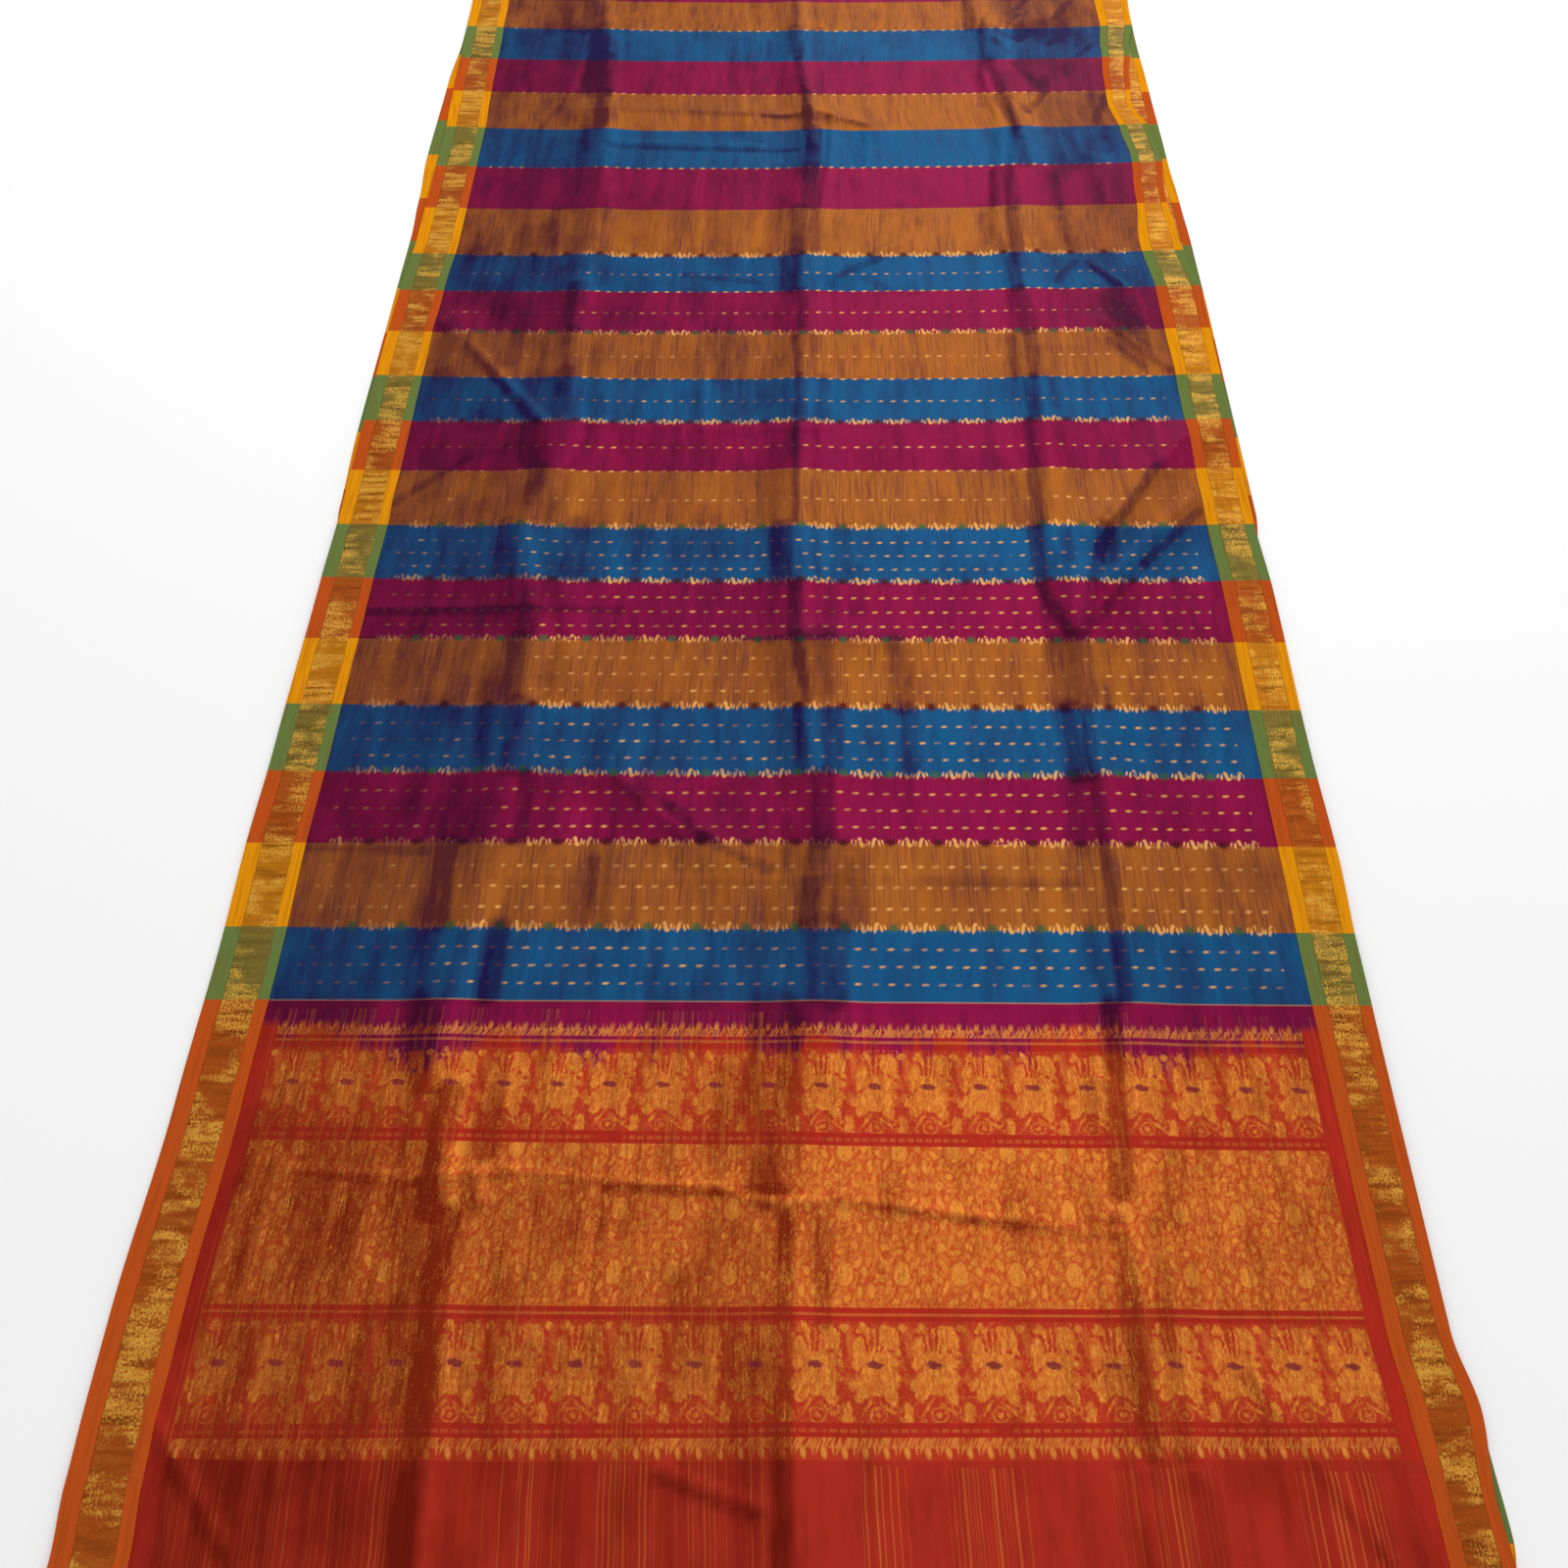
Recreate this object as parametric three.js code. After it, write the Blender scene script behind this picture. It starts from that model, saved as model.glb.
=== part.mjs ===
// A silk sari laid out flat and folded across its length into two layers.
// The upper layer ends near the front in the pallu, the gold-figured end panel, and a
// plain end strip. The under layer is the other half of the same cloth, seen along the
// two selvedges. Millimetres, +X to the right, +Y from the near ends to the fold, +Z up.
import * as THREE from 'three';

// Driving dimensions of the cloth
const FOLDED_LENGTH = 2750;
const BORDER_WIDTH = 63;
const WALL = 1.2;
const SEAM_GAP = 0.3;

// Where one stretch ends and the next begins, measured from the near end
const PLAIN_END_LENGTH = 195;
const PALLU_END = 630;
const FLOWERED_END = 1945;

// The soft turn at the far end, where the upper layer becomes the under layer
const TURN_RADIUS = 4;
const TURN_STEPS = 6;
const TURN_LIFT_LENGTH = 80;

// Spacing of the rows across the cloth
const ROW_STEP = 46;
const UNDER_ROW_STEP = 115;

const NEAR_Y = -FOLDED_LENGTH / 2;
const TURN_Y = FOLDED_LENGTH / 2 - TURN_RADIUS;
const UPPER_REST = WALL + SEAM_GAP;

// Edges of the upper layer: y along the cloth, x of its left and right selvedge and of the
// line where its body meets the right border, which has drawn together in places
const UPPER_OUTLINE = [
  { y: 1375, left: -568, bodyRight: 514, right: 574 },
  { y: 1270, left: -567, bodyRight: 517, right: 572 },
  { y: 1169, left: -564, bodyRight: 509, right: 557 },
  { y: 1075, left: -563, bodyRight: 503, right: 546 },
  { y: 990, left: -561, bodyRight: 501, right: 539 },
  { y: 905, left: -558, bodyRight: 512, right: 560 },
  { y: 830, left: -558, bodyRight: 519, right: 566 },
  { y: 715, left: -558, bodyRight: 513, right: 558 },
  { y: 590, left: -558, bodyRight: 504, right: 564 },
  { y: 470, left: -563, bodyRight: 513, right: 578 },
  { y: 280, left: -565, bodyRight: 514, right: 576 },
  { y: -30, left: -564, bodyRight: 513, right: 572 },
  { y: -140, left: -566, bodyRight: 515, right: 575 },
  { y: -400, left: -569, bodyRight: 513, right: 572 },
  { y: -550, left: -572, bodyRight: 513, right: 574 },
  { y: -660, left: -571, bodyRight: 512, right: 571 },
  { y: -850, left: -574, bodyRight: 513, right: 570 },
  { y: -1060, left: -581, bodyRight: 515, right: 570 },
  { y: -1130, left: -581, bodyRight: 520, right: 580 },
  { y: -1200, left: -580, bodyRight: 524, right: 574 },
  { y: -1260, left: -576, bodyRight: 525, right: 577 },
  { y: -1375, left: -575, bodyRight: 519, right: 575 },
];

// Edges of the under layer, which shows where it stands out past the upper one
const UNDER_OUTLINE = [
  { y: 1375, left: -568, right: 574 },
  { y: 1190, left: -568, right: 572 },
  { y: 1055, left: -574, right: 574 },
  { y: 815, left: -576, right: 576 },
  { y: 700, left: -571, right: 579 },
  { y: 600, left: -568, right: 581 },
  { y: 450, left: -569, right: 581 },
  { y: 140, left: -571, right: 579 },
  { y: 0, left: -568, right: 578 },
  { y: -80, left: -561, right: 570 },
  { y: -600, left: -563, right: 566 },
  { y: -1100, left: -568, right: 566 },
  { y: -1150, left: -569, right: 579 },
  { y: -1230, left: -570, right: 581 },
  { y: -1290, left: -570, right: 570 },
  { y: -1375, left: -568, right: 568 },
];

// The three lengthwise folds the cloth was stored in: x of each ridge along the cloth
const STORAGE_FOLDS = [
  { y: 1375, left: -342, centre: -5, right: 309 },
  { y: 1150, left: -318, centre: 5, right: 330 },
  { y: 900, left: -303, centre: 28, right: 350 },
  { y: 650, left: -296, centre: 12, right: 330 },
  { y: 400, left: -312, centre: 18, right: 326 },
  { y: 150, left: -300, centre: 4, right: 328 },
  { y: -50, left: -336, centre: 2, right: 326 },
  { y: -250, left: -304, centre: 12, right: 335 },
  { y: -500, left: -310, centre: 34, right: 340 },
  { y: -750, left: -332, centre: 28, right: 334 },
  { y: -950, left: -320, centre: -4, right: 322 },
  { y: -1150, left: -296, centre: 4, right: 322 },
  { y: -1375, left: -288, centre: 0, right: 318 },
];

// Section of each storage fold: its height, the width of its two steep flanks, and how far
// out the slow rise and fall beyond them reach
const FOLD_SECTIONS = [
  { name: 'left', leftFlank: 55, leftSlow: 190, rightFlank: 30, rightSlow: 240, height: 7 },
  { name: 'centre', leftFlank: 62, leftSlow: 62, rightFlank: 28, rightSlow: 270, height: 6.5 },
  { name: 'right', leftFlank: 55, leftSlow: 55, rightFlank: 40, rightSlow: 160, height: 7 },
];

// The largest slanting and crosswise creases, each a soft ridge between two points
const CREASES = [
  { x0: -480, y0: 370, x1: -330, y1: 140, height: 6, width: 62 },
  { x0: -500, y0: 10, x1: -385, y1: 115, height: 4, width: 52 },
  { x0: 510, y0: 140, x1: 385, y1: -40, height: 7, width: 60 },
  { x0: 385, y0: -40, x1: 335, y1: -230, height: 6, width: 58 },
  { x0: 500, y0: 20, x1: 375, y1: -150, height: 5, width: 50 },
  { x0: 430, y0: 385, x1: 505, y1: 290, height: 4, width: 50 },
  { x0: 490, y0: 1335, x1: 385, y1: 1250, height: 5, width: 55 },
  { x0: 20, y0: 955, x1: 115, y1: 905, height: 5, width: 48 },
  { x0: -340, y0: 950, x1: -50, y1: 944, height: 3, width: 50 },
  { x0: -190, y0: -450, x1: -60, y1: -560, height: 5, width: 52 },
  { x0: 60, y0: -540, x1: 20, y1: -640, height: 4, width: 48 },
  { x0: -50, y0: -235, x1: 120, y1: -245, height: 4, width: 48 },
  { x0: 130, y0: 560, x1: 60, y1: 505, height: 4, width: 48 },
  { x0: -450, y0: -925, x1: -250, y1: -925, height: 3, width: 50 },
  { x0: -250, y0: -925, x1: -20, y1: -945, height: 2.5, width: 50 },
  { x0: -20, y0: -945, x1: 300, y1: -972, height: 2, width: 48 },
  { x0: 390, y0: -1100, x1: 480, y1: -1250, height: 5, width: 58 },
  { x0: -520, y0: -1150, x1: -430, y1: -1260, height: 5, width: 55 },
];

// Slow rise and fall of the whole layer between its folds
const WAVE_HEIGHT = 1.4;
const WAVE_ACROSS = 118;
const WAVE_ALONG = 240;

function ease(t) {
  const held = THREE.MathUtils.clamp(t, 0, 1);
  return held * held * (3 - 2 * held);
}

// Value of one column of a table at a place along the cloth, eased from row to row
function readTable(table, column, y) {
  let row = 0;
  while (row < table.length - 2 && y < table[row + 1].y) row += 1;
  const near = table[row];
  const far = table[row + 1];
  const share = ease((near.y - y) / (near.y - far.y));
  return near[column] + (far[column] - near[column]) * share;
}

function storageFoldHeight(x, y) {
  let height = 0;
  for (const fold of FOLD_SECTIONS) {
    const offset = x - readTable(STORAGE_FOLDS, fold.name, y);
    const flank = offset < 0 ? fold.leftFlank : fold.rightFlank;
    const slow = offset < 0 ? fold.leftSlow : fold.rightSlow;
    const away = Math.abs(offset);
    height += (fold.height * (ease(1 - away / flank) + ease(1 - away / slow))) / 2;
  }
  return height;
}

function creaseHeight(x, y) {
  let height = 0;
  const place = new THREE.Vector3(x, y, 0);
  const nearest = new THREE.Vector3();
  for (const crease of CREASES) {
    const line = new THREE.Line3(
      new THREE.Vector3(crease.x0, crease.y0, 0),
      new THREE.Vector3(crease.x1, crease.y1, 0),
    );
    line.closestPointToPoint(place, true, nearest);
    height += crease.height * ease(1 - nearest.distanceTo(place) / crease.width);
  }
  return height;
}

// Height of the upper layer's inner face above the surface the sari lies on
function upperHeight(x, y) {
  const toTurn = ease(1 - (TURN_Y - y) / TURN_LIFT_LENGTH);
  const turnLift = 2 * TURN_RADIUS - WALL - UPPER_REST;
  const wave = WAVE_HEIGHT * (1 + Math.sin(x / WAVE_ACROSS) * Math.cos(y / WAVE_ALONG));
  const folds = storageFoldHeight(x, y) + creaseHeight(x, y) + wave;
  return UPPER_REST + turnLift * toTurn + folds * (1 - toTurn);
}

// A row runs across the cloth. It knows its edges and the two faces of the cloth at any x.
function upperRow(y) {
  return {
    y,
    left: readTable(UPPER_OUTLINE, 'left', y),
    bodyRight: readTable(UPPER_OUTLINE, 'bodyRight', y),
    right: readTable(UPPER_OUTLINE, 'right', y),
    inner: (x) => [x, y, upperHeight(x, y)],
    outer: (x) => [x, y, upperHeight(x, y) + WALL],
  };
}

function turnRow(angle) {
  const inside = TURN_RADIUS - WALL;
  const reach = Math.cos(angle);
  const rise = Math.sin(angle);
  return {
    y: TURN_Y,
    left: readTable(UPPER_OUTLINE, 'left', TURN_Y),
    bodyRight: readTable(UPPER_OUTLINE, 'bodyRight', TURN_Y),
    right: readTable(UPPER_OUTLINE, 'right', TURN_Y),
    inner: (x) => [x, TURN_Y + inside * reach, TURN_RADIUS + inside * rise],
    outer: (x) => [x, TURN_Y + TURN_RADIUS * reach, TURN_RADIUS + TURN_RADIUS * rise],
  };
}

function underRow(y) {
  return {
    y,
    left: readTable(UNDER_OUTLINE, 'left', y),
    bodyRight: readTable(UNDER_OUTLINE, 'right', y) - BORDER_WIDTH,
    right: readTable(UNDER_OUTLINE, 'right', y),
    inner: (x) => [x, y, WALL],
    outer: (x) => [x, y, 0],
  };
}

function evenSteps(from, to, step) {
  const count = Math.max(1, Math.round(Math.abs(to - from) / step));
  return Array.from({ length: count + 1 }, (_, index) => from + ((to - from) * index) / count);
}

function upperRows(from, to) {
  return evenSteps(NEAR_Y + from, NEAR_Y + to, ROW_STEP).map(upperRow);
}

function turnRows() {
  const angles = evenSteps(Math.PI / 2, -Math.PI / 2, Math.PI / TURN_STEPS);
  return angles.map(turnRow);
}

function underRows() {
  return evenSteps(TURN_Y - SEAM_GAP, NEAR_Y, UNDER_ROW_STEP).map(underRow);
}

// Columns across the body: close together over each storage fold, wider between them
const BETWEEN_FOLDS = [3, 4, 5, 3];

function bodyColumns(row) {
  const columns = [];
  let from = row.left + BORDER_WIDTH + SEAM_GAP / 2;
  FOLD_SECTIONS.forEach((fold, index) => {
    const ridge = readTable(STORAGE_FOLDS, fold.name, row.y);
    const cells = BETWEEN_FOLDS[index];
    const start = ridge - fold.leftFlank;
    for (let cell = 0; cell <= cells; cell += 1) {
      columns.push(from + ((start - from) * cell) / cells);
    }
    columns.push(ridge);
    from = ridge + fold.rightFlank;
  });
  const end = row.bodyRight - SEAM_GAP / 2;
  const cells = BETWEEN_FOLDS[FOLD_SECTIONS.length];
  for (let cell = 0; cell <= cells; cell += 1) {
    columns.push(from + ((end - from) * cell) / cells);
  }
  return columns;
}

function plainColumns(row) {
  return [row.left + BORDER_WIDTH + SEAM_GAP / 2, row.bodyRight - SEAM_GAP / 2];
}

function leftBorderColumns(row) {
  const inside = row.left + BORDER_WIDTH - SEAM_GAP / 2;
  return [row.left, (row.left + inside) / 2, inside];
}

function rightBorderColumns(row) {
  const inside = row.bodyRight + SEAM_GAP / 2;
  return [inside, (row.right + inside) / 2, row.right];
}

// A closed wall of cloth through rows and columns: outer face, inner face and four rims
function clothWall(rows, columnsOf) {
  const grid = rows.map((row) => columnsOf(row));
  const across = grid[0].length;
  const positions = [];
  for (const face of ['outer', 'inner']) {
    rows.forEach((row, index) => {
      for (const x of grid[index]) positions.push(...row[face](x));
    });
  }
  const innerStart = rows.length * across;
  const outer = (row, column) => row * across + column;
  const inner = (row, column) => innerStart + row * across + column;
  const faces = [];
  const quad = (a, b, c, d) => faces.push(a, b, c, a, c, d);
  const lastRow = rows.length - 1;
  const lastColumn = across - 1;
  for (let row = 0; row < lastRow; row += 1) {
    for (let column = 0; column < lastColumn; column += 1) {
      quad(outer(row, column), outer(row, column + 1), outer(row + 1, column + 1), outer(row + 1, column));
      quad(inner(row, column), inner(row + 1, column), inner(row + 1, column + 1), inner(row, column + 1));
    }
    quad(outer(row + 1, 0), inner(row + 1, 0), inner(row, 0), outer(row, 0));
    quad(outer(row, lastColumn), inner(row, lastColumn), inner(row + 1, lastColumn), outer(row + 1, lastColumn));
  }
  for (let column = 0; column < lastColumn; column += 1) {
    quad(outer(0, column), inner(0, column), inner(0, column + 1), outer(0, column + 1));
    quad(outer(lastRow, column + 1), inner(lastRow, column + 1), inner(lastRow, column), outer(lastRow, column));
  }
  const geometry = new THREE.BufferGeometry();
  geometry.setAttribute('position', new THREE.Float32BufferAttribute(positions, 3));
  geometry.setIndex(faces);
  geometry.computeVertexNormals();
  return geometry;
}

// Silk of each stretch
function silk(color, roughness, metalness = 0) {
  return new THREE.MeshStandardMaterial({ color, roughness, metalness });
}

const plainEndSilk = silk(0xa8331f, 0.6);
const palluSilk = silk(0xc4762a, 0.45, 0.3);
const flowersSilk = silk(0x1f5f9a, 0.55);
const stripesSilk = silk(0x8c1c4c, 0.55);
const underSilk = silk(0x9a5a26, 0.6);
const borderSilk = silk(0xdc8c16, 0.45, 0.3);

const sari = new THREE.Group();

function addStretch(name, rows, columnsOf, material) {
  const stretch = new THREE.Mesh(clothWall(rows, columnsOf), material);
  stretch.name = name;
  sari.add(stretch);
}

const HALF_GAP = SEAM_GAP / 2;
const UPPER_END = FOLDED_LENGTH - TURN_RADIUS - 1;
const flowerRows = upperRows(PALLU_END + HALF_GAP, FLOWERED_END - HALF_GAP);
const stripeRows = [...upperRows(FLOWERED_END + HALF_GAP, UPPER_END), ...turnRows()];

// The borders run the whole length, on the same rows as the stretches beside them
const borderRows = [
  ...upperRows(0, PLAIN_END_LENGTH),
  ...upperRows(PLAIN_END_LENGTH, PALLU_END).slice(1),
  ...upperRows(PALLU_END, FLOWERED_END).slice(1),
  ...upperRows(FLOWERED_END, UPPER_END).slice(1),
  ...turnRows(),
];

addStretch('plain_end', upperRows(0, PLAIN_END_LENGTH - HALF_GAP), bodyColumns, plainEndSilk);
addStretch('pallu', upperRows(PLAIN_END_LENGTH + HALF_GAP, PALLU_END - HALF_GAP), bodyColumns, palluSilk);
addStretch('body_flowered', flowerRows, bodyColumns, flowersSilk);
addStretch('body_striped', stripeRows, bodyColumns, stripesSilk);
addStretch('body_under', underRows(), plainColumns, underSilk);
addStretch('border_left', borderRows, leftBorderColumns, borderSilk);
addStretch('border_right', borderRows, rightBorderColumns, borderSilk);
addStretch('border_left_under', underRows(), leftBorderColumns, borderSilk);
addStretch('border_right_under', underRows(), rightBorderColumns, borderSilk);

export default sari;
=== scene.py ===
import math
from collections import namedtuple

import bmesh
import bpy
import numpy as np
from mathutils import Matrix, Vector


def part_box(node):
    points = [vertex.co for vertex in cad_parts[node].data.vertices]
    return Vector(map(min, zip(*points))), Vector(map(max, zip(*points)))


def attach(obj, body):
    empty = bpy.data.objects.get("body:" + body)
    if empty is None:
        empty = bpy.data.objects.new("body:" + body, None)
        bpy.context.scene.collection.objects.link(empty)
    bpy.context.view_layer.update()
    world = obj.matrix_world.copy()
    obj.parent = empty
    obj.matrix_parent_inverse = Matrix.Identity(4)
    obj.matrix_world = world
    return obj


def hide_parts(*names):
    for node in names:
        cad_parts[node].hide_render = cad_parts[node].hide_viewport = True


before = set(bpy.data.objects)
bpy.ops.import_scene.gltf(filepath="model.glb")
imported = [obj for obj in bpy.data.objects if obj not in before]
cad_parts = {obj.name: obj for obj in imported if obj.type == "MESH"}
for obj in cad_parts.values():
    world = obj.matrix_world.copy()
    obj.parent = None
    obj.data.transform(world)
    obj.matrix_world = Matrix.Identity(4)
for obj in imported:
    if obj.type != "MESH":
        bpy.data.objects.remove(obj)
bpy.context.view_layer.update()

# The body of the under layer
# The far half of the same length of silk, folded back below the upper half with its face
# down, so it lies flat on the floor. It is striped like the body above.
MM = 0.001
CLOTH_WIDTH = 1150
BORDER_WIDTH = 63
BODY_WIDTH = CLOTH_WIDTH - 2 * BORDER_WIDTH
BODY_START = BORDER_WIDTH
BODY_END = CLOTH_WIDTH - BORDER_WIDTH
SILK_WALL = 1.2
UNDER_CELL = 24
UNDER_TONE = 0.45

near_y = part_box("plain_end")[0][1] / MM
fold_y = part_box("body_striped")[1][1] / MM
turn_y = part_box("body_under")[1][1] / MM

# Sizes in the tables are millimetres: y runs along the cloth from its middle, x across it
Edge = namedtuple("Edge", "y left right")
UNDER_OUTLINE = [Edge(*row) for row in (
    (1375, -568, 574),
    (1190, -568, 572),
    (1055, -574, 574),
    (815, -576, 576),
    (700, -571, 579),
    (600, -568, 581),
    (450, -569, 581),
    (140, -571, 579),
    (0, -568, 578),
    (-80, -561, 570),
    (-600, -563, 566),
    (-1100, -568, 566),
    (-1150, -569, 579),
    (-1230, -570, 581),
    (-1290, -570, 570),
    (-1375, -568, 568),
)]

# Width of each stripe from the end panel on. Those that don't show have the usual width.
FIRST_STRIPE = 642.2
STRIPE_WIDTHS = [
    86, 111, 94, 100, 106, 98, 97, 109, 98, 93, 103, 100, 87, 124, 116, 109, 113, 109, 104, 102,
    158, 119, 112, 102, 102, 125, 115, 120, 108, 100,
]
USUAL_WIDTH = 115
FURTHER_STRIPES = 18
STRIPES_BEFORE = 8


def ease(share):
    held = np.clip(share, 0, 1)
    return held * held * (3 - 2 * held)


def read_table(table, column, y):
    """One column of a table at places along the cloth, eased from row to row."""
    rows = sorted(table, key=lambda row: row.y)
    places = np.array([row.y for row in rows], float)
    values = np.array([getattr(row, column) for row in rows], float)
    row = np.clip(np.searchsorted(places, y) - 1, 0, len(rows) - 2)
    share = ease((y - places[row]) / (places[row + 1] - places[row]))
    return values[row] + (values[row + 1] - values[row]) * share


def stripe_number(length):
    """Stripes passed since the end panel: whole numbers are the lines between stripes."""
    widths = STRIPE_WIDTHS + [USUAL_WIDTH] * FURTHER_STRIPES
    lines = FIRST_STRIPE + np.concatenate([[0], np.cumsum(widths)])
    numbers = np.arange(len(lines), dtype=float)
    lines = np.concatenate([[FIRST_STRIPE - USUAL_WIDTH * STRIPES_BEFORE], lines])
    numbers = np.concatenate([[-STRIPES_BEFORE], numbers])
    return np.interp(length, lines, numbers)


def even_places(first, last, cell):
    return np.linspace(first, last, max(2, round(abs(last - first) / cell) + 1))


def lay_cloth(name, across_places, along_places, lay):
    """Lay a grid of cloth. lay gives the x, y, z, woven length and tone of its points; the tone is
    the painted light and shade that the materials read.
    """
    sheet = bmesh.new()
    bmesh.ops.create_grid(
        sheet, x_segments=len(across_places) - 1, y_segments=len(along_places) - 1, size=0.5
    )
    mesh = bpy.data.meshes.new(name)
    sheet.to_mesh(mesh)
    sheet.free()
    flat = np.empty(len(mesh.vertices) * 3)
    mesh.vertices.foreach_get("co", flat)
    flat = flat.reshape(-1, 3) + 0.5
    across = across_places[np.rint(flat[:, 0] * (len(across_places) - 1)).astype(int)]
    along = along_places[np.rint(flat[:, 1] * (len(along_places) - 1)).astype(int)]
    rim = (flat[:, :2] < 1e-6) | (flat[:, :2] > 1 - 1e-6)
    ends = np.empty(len(mesh.edges) * 2, dtype=np.int32)
    mesh.edges.foreach_get("vertices", ends)
    ends = ends.reshape(-1, 2)
    mesh.edges.foreach_set("use_edge_sharp", (rim[ends[:, 0]] & rim[ends[:, 1]]).any(axis=1))
    x, y, z, length, tone = lay(across, along)
    mesh.vertices.foreach_set("co", (np.stack([x, y, z], axis=1) * MM).ravel())
    corners = np.empty(len(mesh.loops), dtype=np.int32)
    mesh.loops.foreach_get("vertex_index", corners)
    woven = np.stack([across, length], axis=1) * MM
    mesh.uv_layers.new(name="Cloth").data.foreach_set("uv", woven[corners].ravel())
    # tone carries the painted light and shade
    for label, values in (("stripe", stripe_number(length)), ("tone", tone)):
        mesh.attributes.new(label, "FLOAT", "POINT").data.foreach_set("value", values)
    mesh.polygons.foreach_set("use_smooth", np.ones(len(mesh.polygons), dtype=bool))
    mesh.update()
    piece = bpy.data.objects.new(name, mesh)
    bpy.context.scene.collection.objects.link(piece)
    wall = piece.modifiers.new("Silk wall", "SOLIDIFY")
    wall.thickness = SILK_WALL * MM
    wall.offset = -1
    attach(piece, "root")
    return piece


def across_to_x(across, left, body_right, right):
    """Place across the cloth to x, by its left selvedge, its right border's line and selvedge."""
    body_left = left + BORDER_WIDTH
    body = (across - BODY_START) / BODY_WIDTH
    x = body_left + (body_right - body_left) * body
    x = np.where(across < BODY_START, left + across, x)
    border = (across - BODY_END) / BORDER_WIDTH
    return np.where(across > BODY_END, body_right + (right - body_right) * border, x)


def lay_under(across, y):
    """The under layer runs back from the turn, face down on the floor."""
    left = read_table(UNDER_OUTLINE, "left", y)
    right = read_table(UNDER_OUTLINE, "right", y)
    x = across_to_x(across, left, right - BORDER_WIDTH, right)
    length = (fold_y - near_y) + (fold_y - y)
    return x, y, np.full_like(x, SILK_WALL), length, np.full_like(x, UNDER_TONE)


class Signal:
    """One output in a material's node tree. Sums and products of signals add the nodes
    that they stand for."""

    def __init__(self, tree, socket):
        self.tree = tree
        self.socket = socket

    def add(self, kind, settings, sockets, output=0):
        node = self.tree.nodes.new(kind)
        for name, value in settings.items():
            setattr(node, name, value)
        for key, value in sockets.items():
            if isinstance(value, Signal):
                self.tree.links.new(value.socket, node.inputs[key])
            else:
                node.inputs[key].default_value = value
        return Signal(self.tree, node.outputs[output])

    def math(self, operation, *others):
        sockets = dict(enumerate((self, *others)))
        return self.add("ShaderNodeMath", {"operation": operation}, sockets)

    def held(self):
        """The value held between 0 and 1."""
        return self.add("ShaderNodeClamp", {}, {0: self})

    def __add__(self, other):
        return self.math("ADD", other)

    __radd__ = __add__

    def __sub__(self, other):
        return self.math("SUBTRACT", other)

    def __rsub__(self, other):
        return self.math("MULTIPLY_ADD", -1.0, other)

    def __mul__(self, other):
        return self.math("MULTIPLY", other)

    __rmul__ = __mul__

    def __truediv__(self, other):
        return self.math("DIVIDE", other)

    def __or__(self, other):
        """Two shapes as one, where each is the distance outside it."""
        return self.math("MINIMUM", other)

    def either(self, other):
        """The stronger of two masks."""
        return self.math("MAXIMUM", other)

    def scaled(self, x, y):
        sockets = {0: self, 1: (x, y, 1.0)}
        return self.add("ShaderNodeVectorMath", {"operation": "MULTIPLY"}, sockets)

    def below(self, limit, soft):
        """1 where the value is below the limit and 0 above it, with a soft edge."""
        return self.math("MULTIPLY_ADD", -1.0 / soft, 0.5 + limit / soft).held()

    def above(self, limit, soft):
        return self.math("MULTIPLY_ADD", 1.0 / soft, 0.5 - limit / soft).held()

    def within(self, middle, half, soft):
        return (self - middle).math("ABSOLUTE").below(half, soft)

    def repeated(self, pitch):
        """The value counted from the middle of the nearest repeat."""
        return self.math("WRAP", pitch / 2, -pitch / 2)

    def joined(self, other):
        return self.add("ShaderNodeCombineXYZ", {}, {0: self, 1: other})

    def parts(self):
        node = self.add("ShaderNodeSeparateXYZ", {}, {0: self}).socket.node
        return [Signal(self.tree, socket) for socket in node.outputs]

    def oval(self, x, y, wide, tall, turn=0.0):
        """Distance outside an oval of these half sizes, less than 0 inside it. turn leans
        its top to the left, in degrees."""
        sockets = {
            "Vector": self,
            "Location": (x, y, 0.0),
            "Rotation": (0.0, 0.0, math.radians(turn)),
            "Scale": (wide, tall, 1.0),
        }
        place = self.add("ShaderNodeMapping", {"vector_type": "TEXTURE"}, sockets)
        reach = place.add("ShaderNodeVectorMath", {"operation": "LENGTH"}, {0: place}, output=1)
        return reach.math("MULTIPLY_ADD", min(wide, tall), -min(wide, tall))

    def ovals(self, table, rings=()):
        """The ovals of a table as one shape, with the rings of another."""
        shape = self.oval(*table[0])
        for row in table[1:]:
            shape = shape | self.oval(*row)
        for row in rings:
            shape = shape | self.ring(*row)
        return shape

    def ring(self, x, y, radius, width):
        """Distance outside a ring of this radius and width."""
        return self.oval(x, y, radius, radius).math("ABSOLUTE") - width / 2

    def drawn(self, soft=0.9):
        """The mask of a shape: 1 inside and 0 outside, with a soft edge."""
        return self.below(0.0, soft)

    def charted(self, stops):
        """A colour for each range of the value, from the place where it starts."""
        result = self.add("ShaderNodeValToRGB", {}, {0: self})
        ramp = result.socket.node.color_ramp
        ramp.interpolation = "CONSTANT"
        while len(ramp.elements) < len(stops):
            ramp.elements.new(1.0)
        for stop, (place, colour) in zip(ramp.elements, stops):
            stop.position = place
            stop.color = (*colour, 1.0)
        return result

    def dyed(self, under, over):
        """The colour under where the value is 0, and the colour over where it is 1."""
        ends = [end if isinstance(end, Signal) else (*end, 1.0) for end in (under, over)]
        sockets = {0: self, 6: ends[0], 7: ends[1]}
        return self.add("ShaderNodeMix", {"data_type": "RGBA"}, sockets, output=2)
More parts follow.
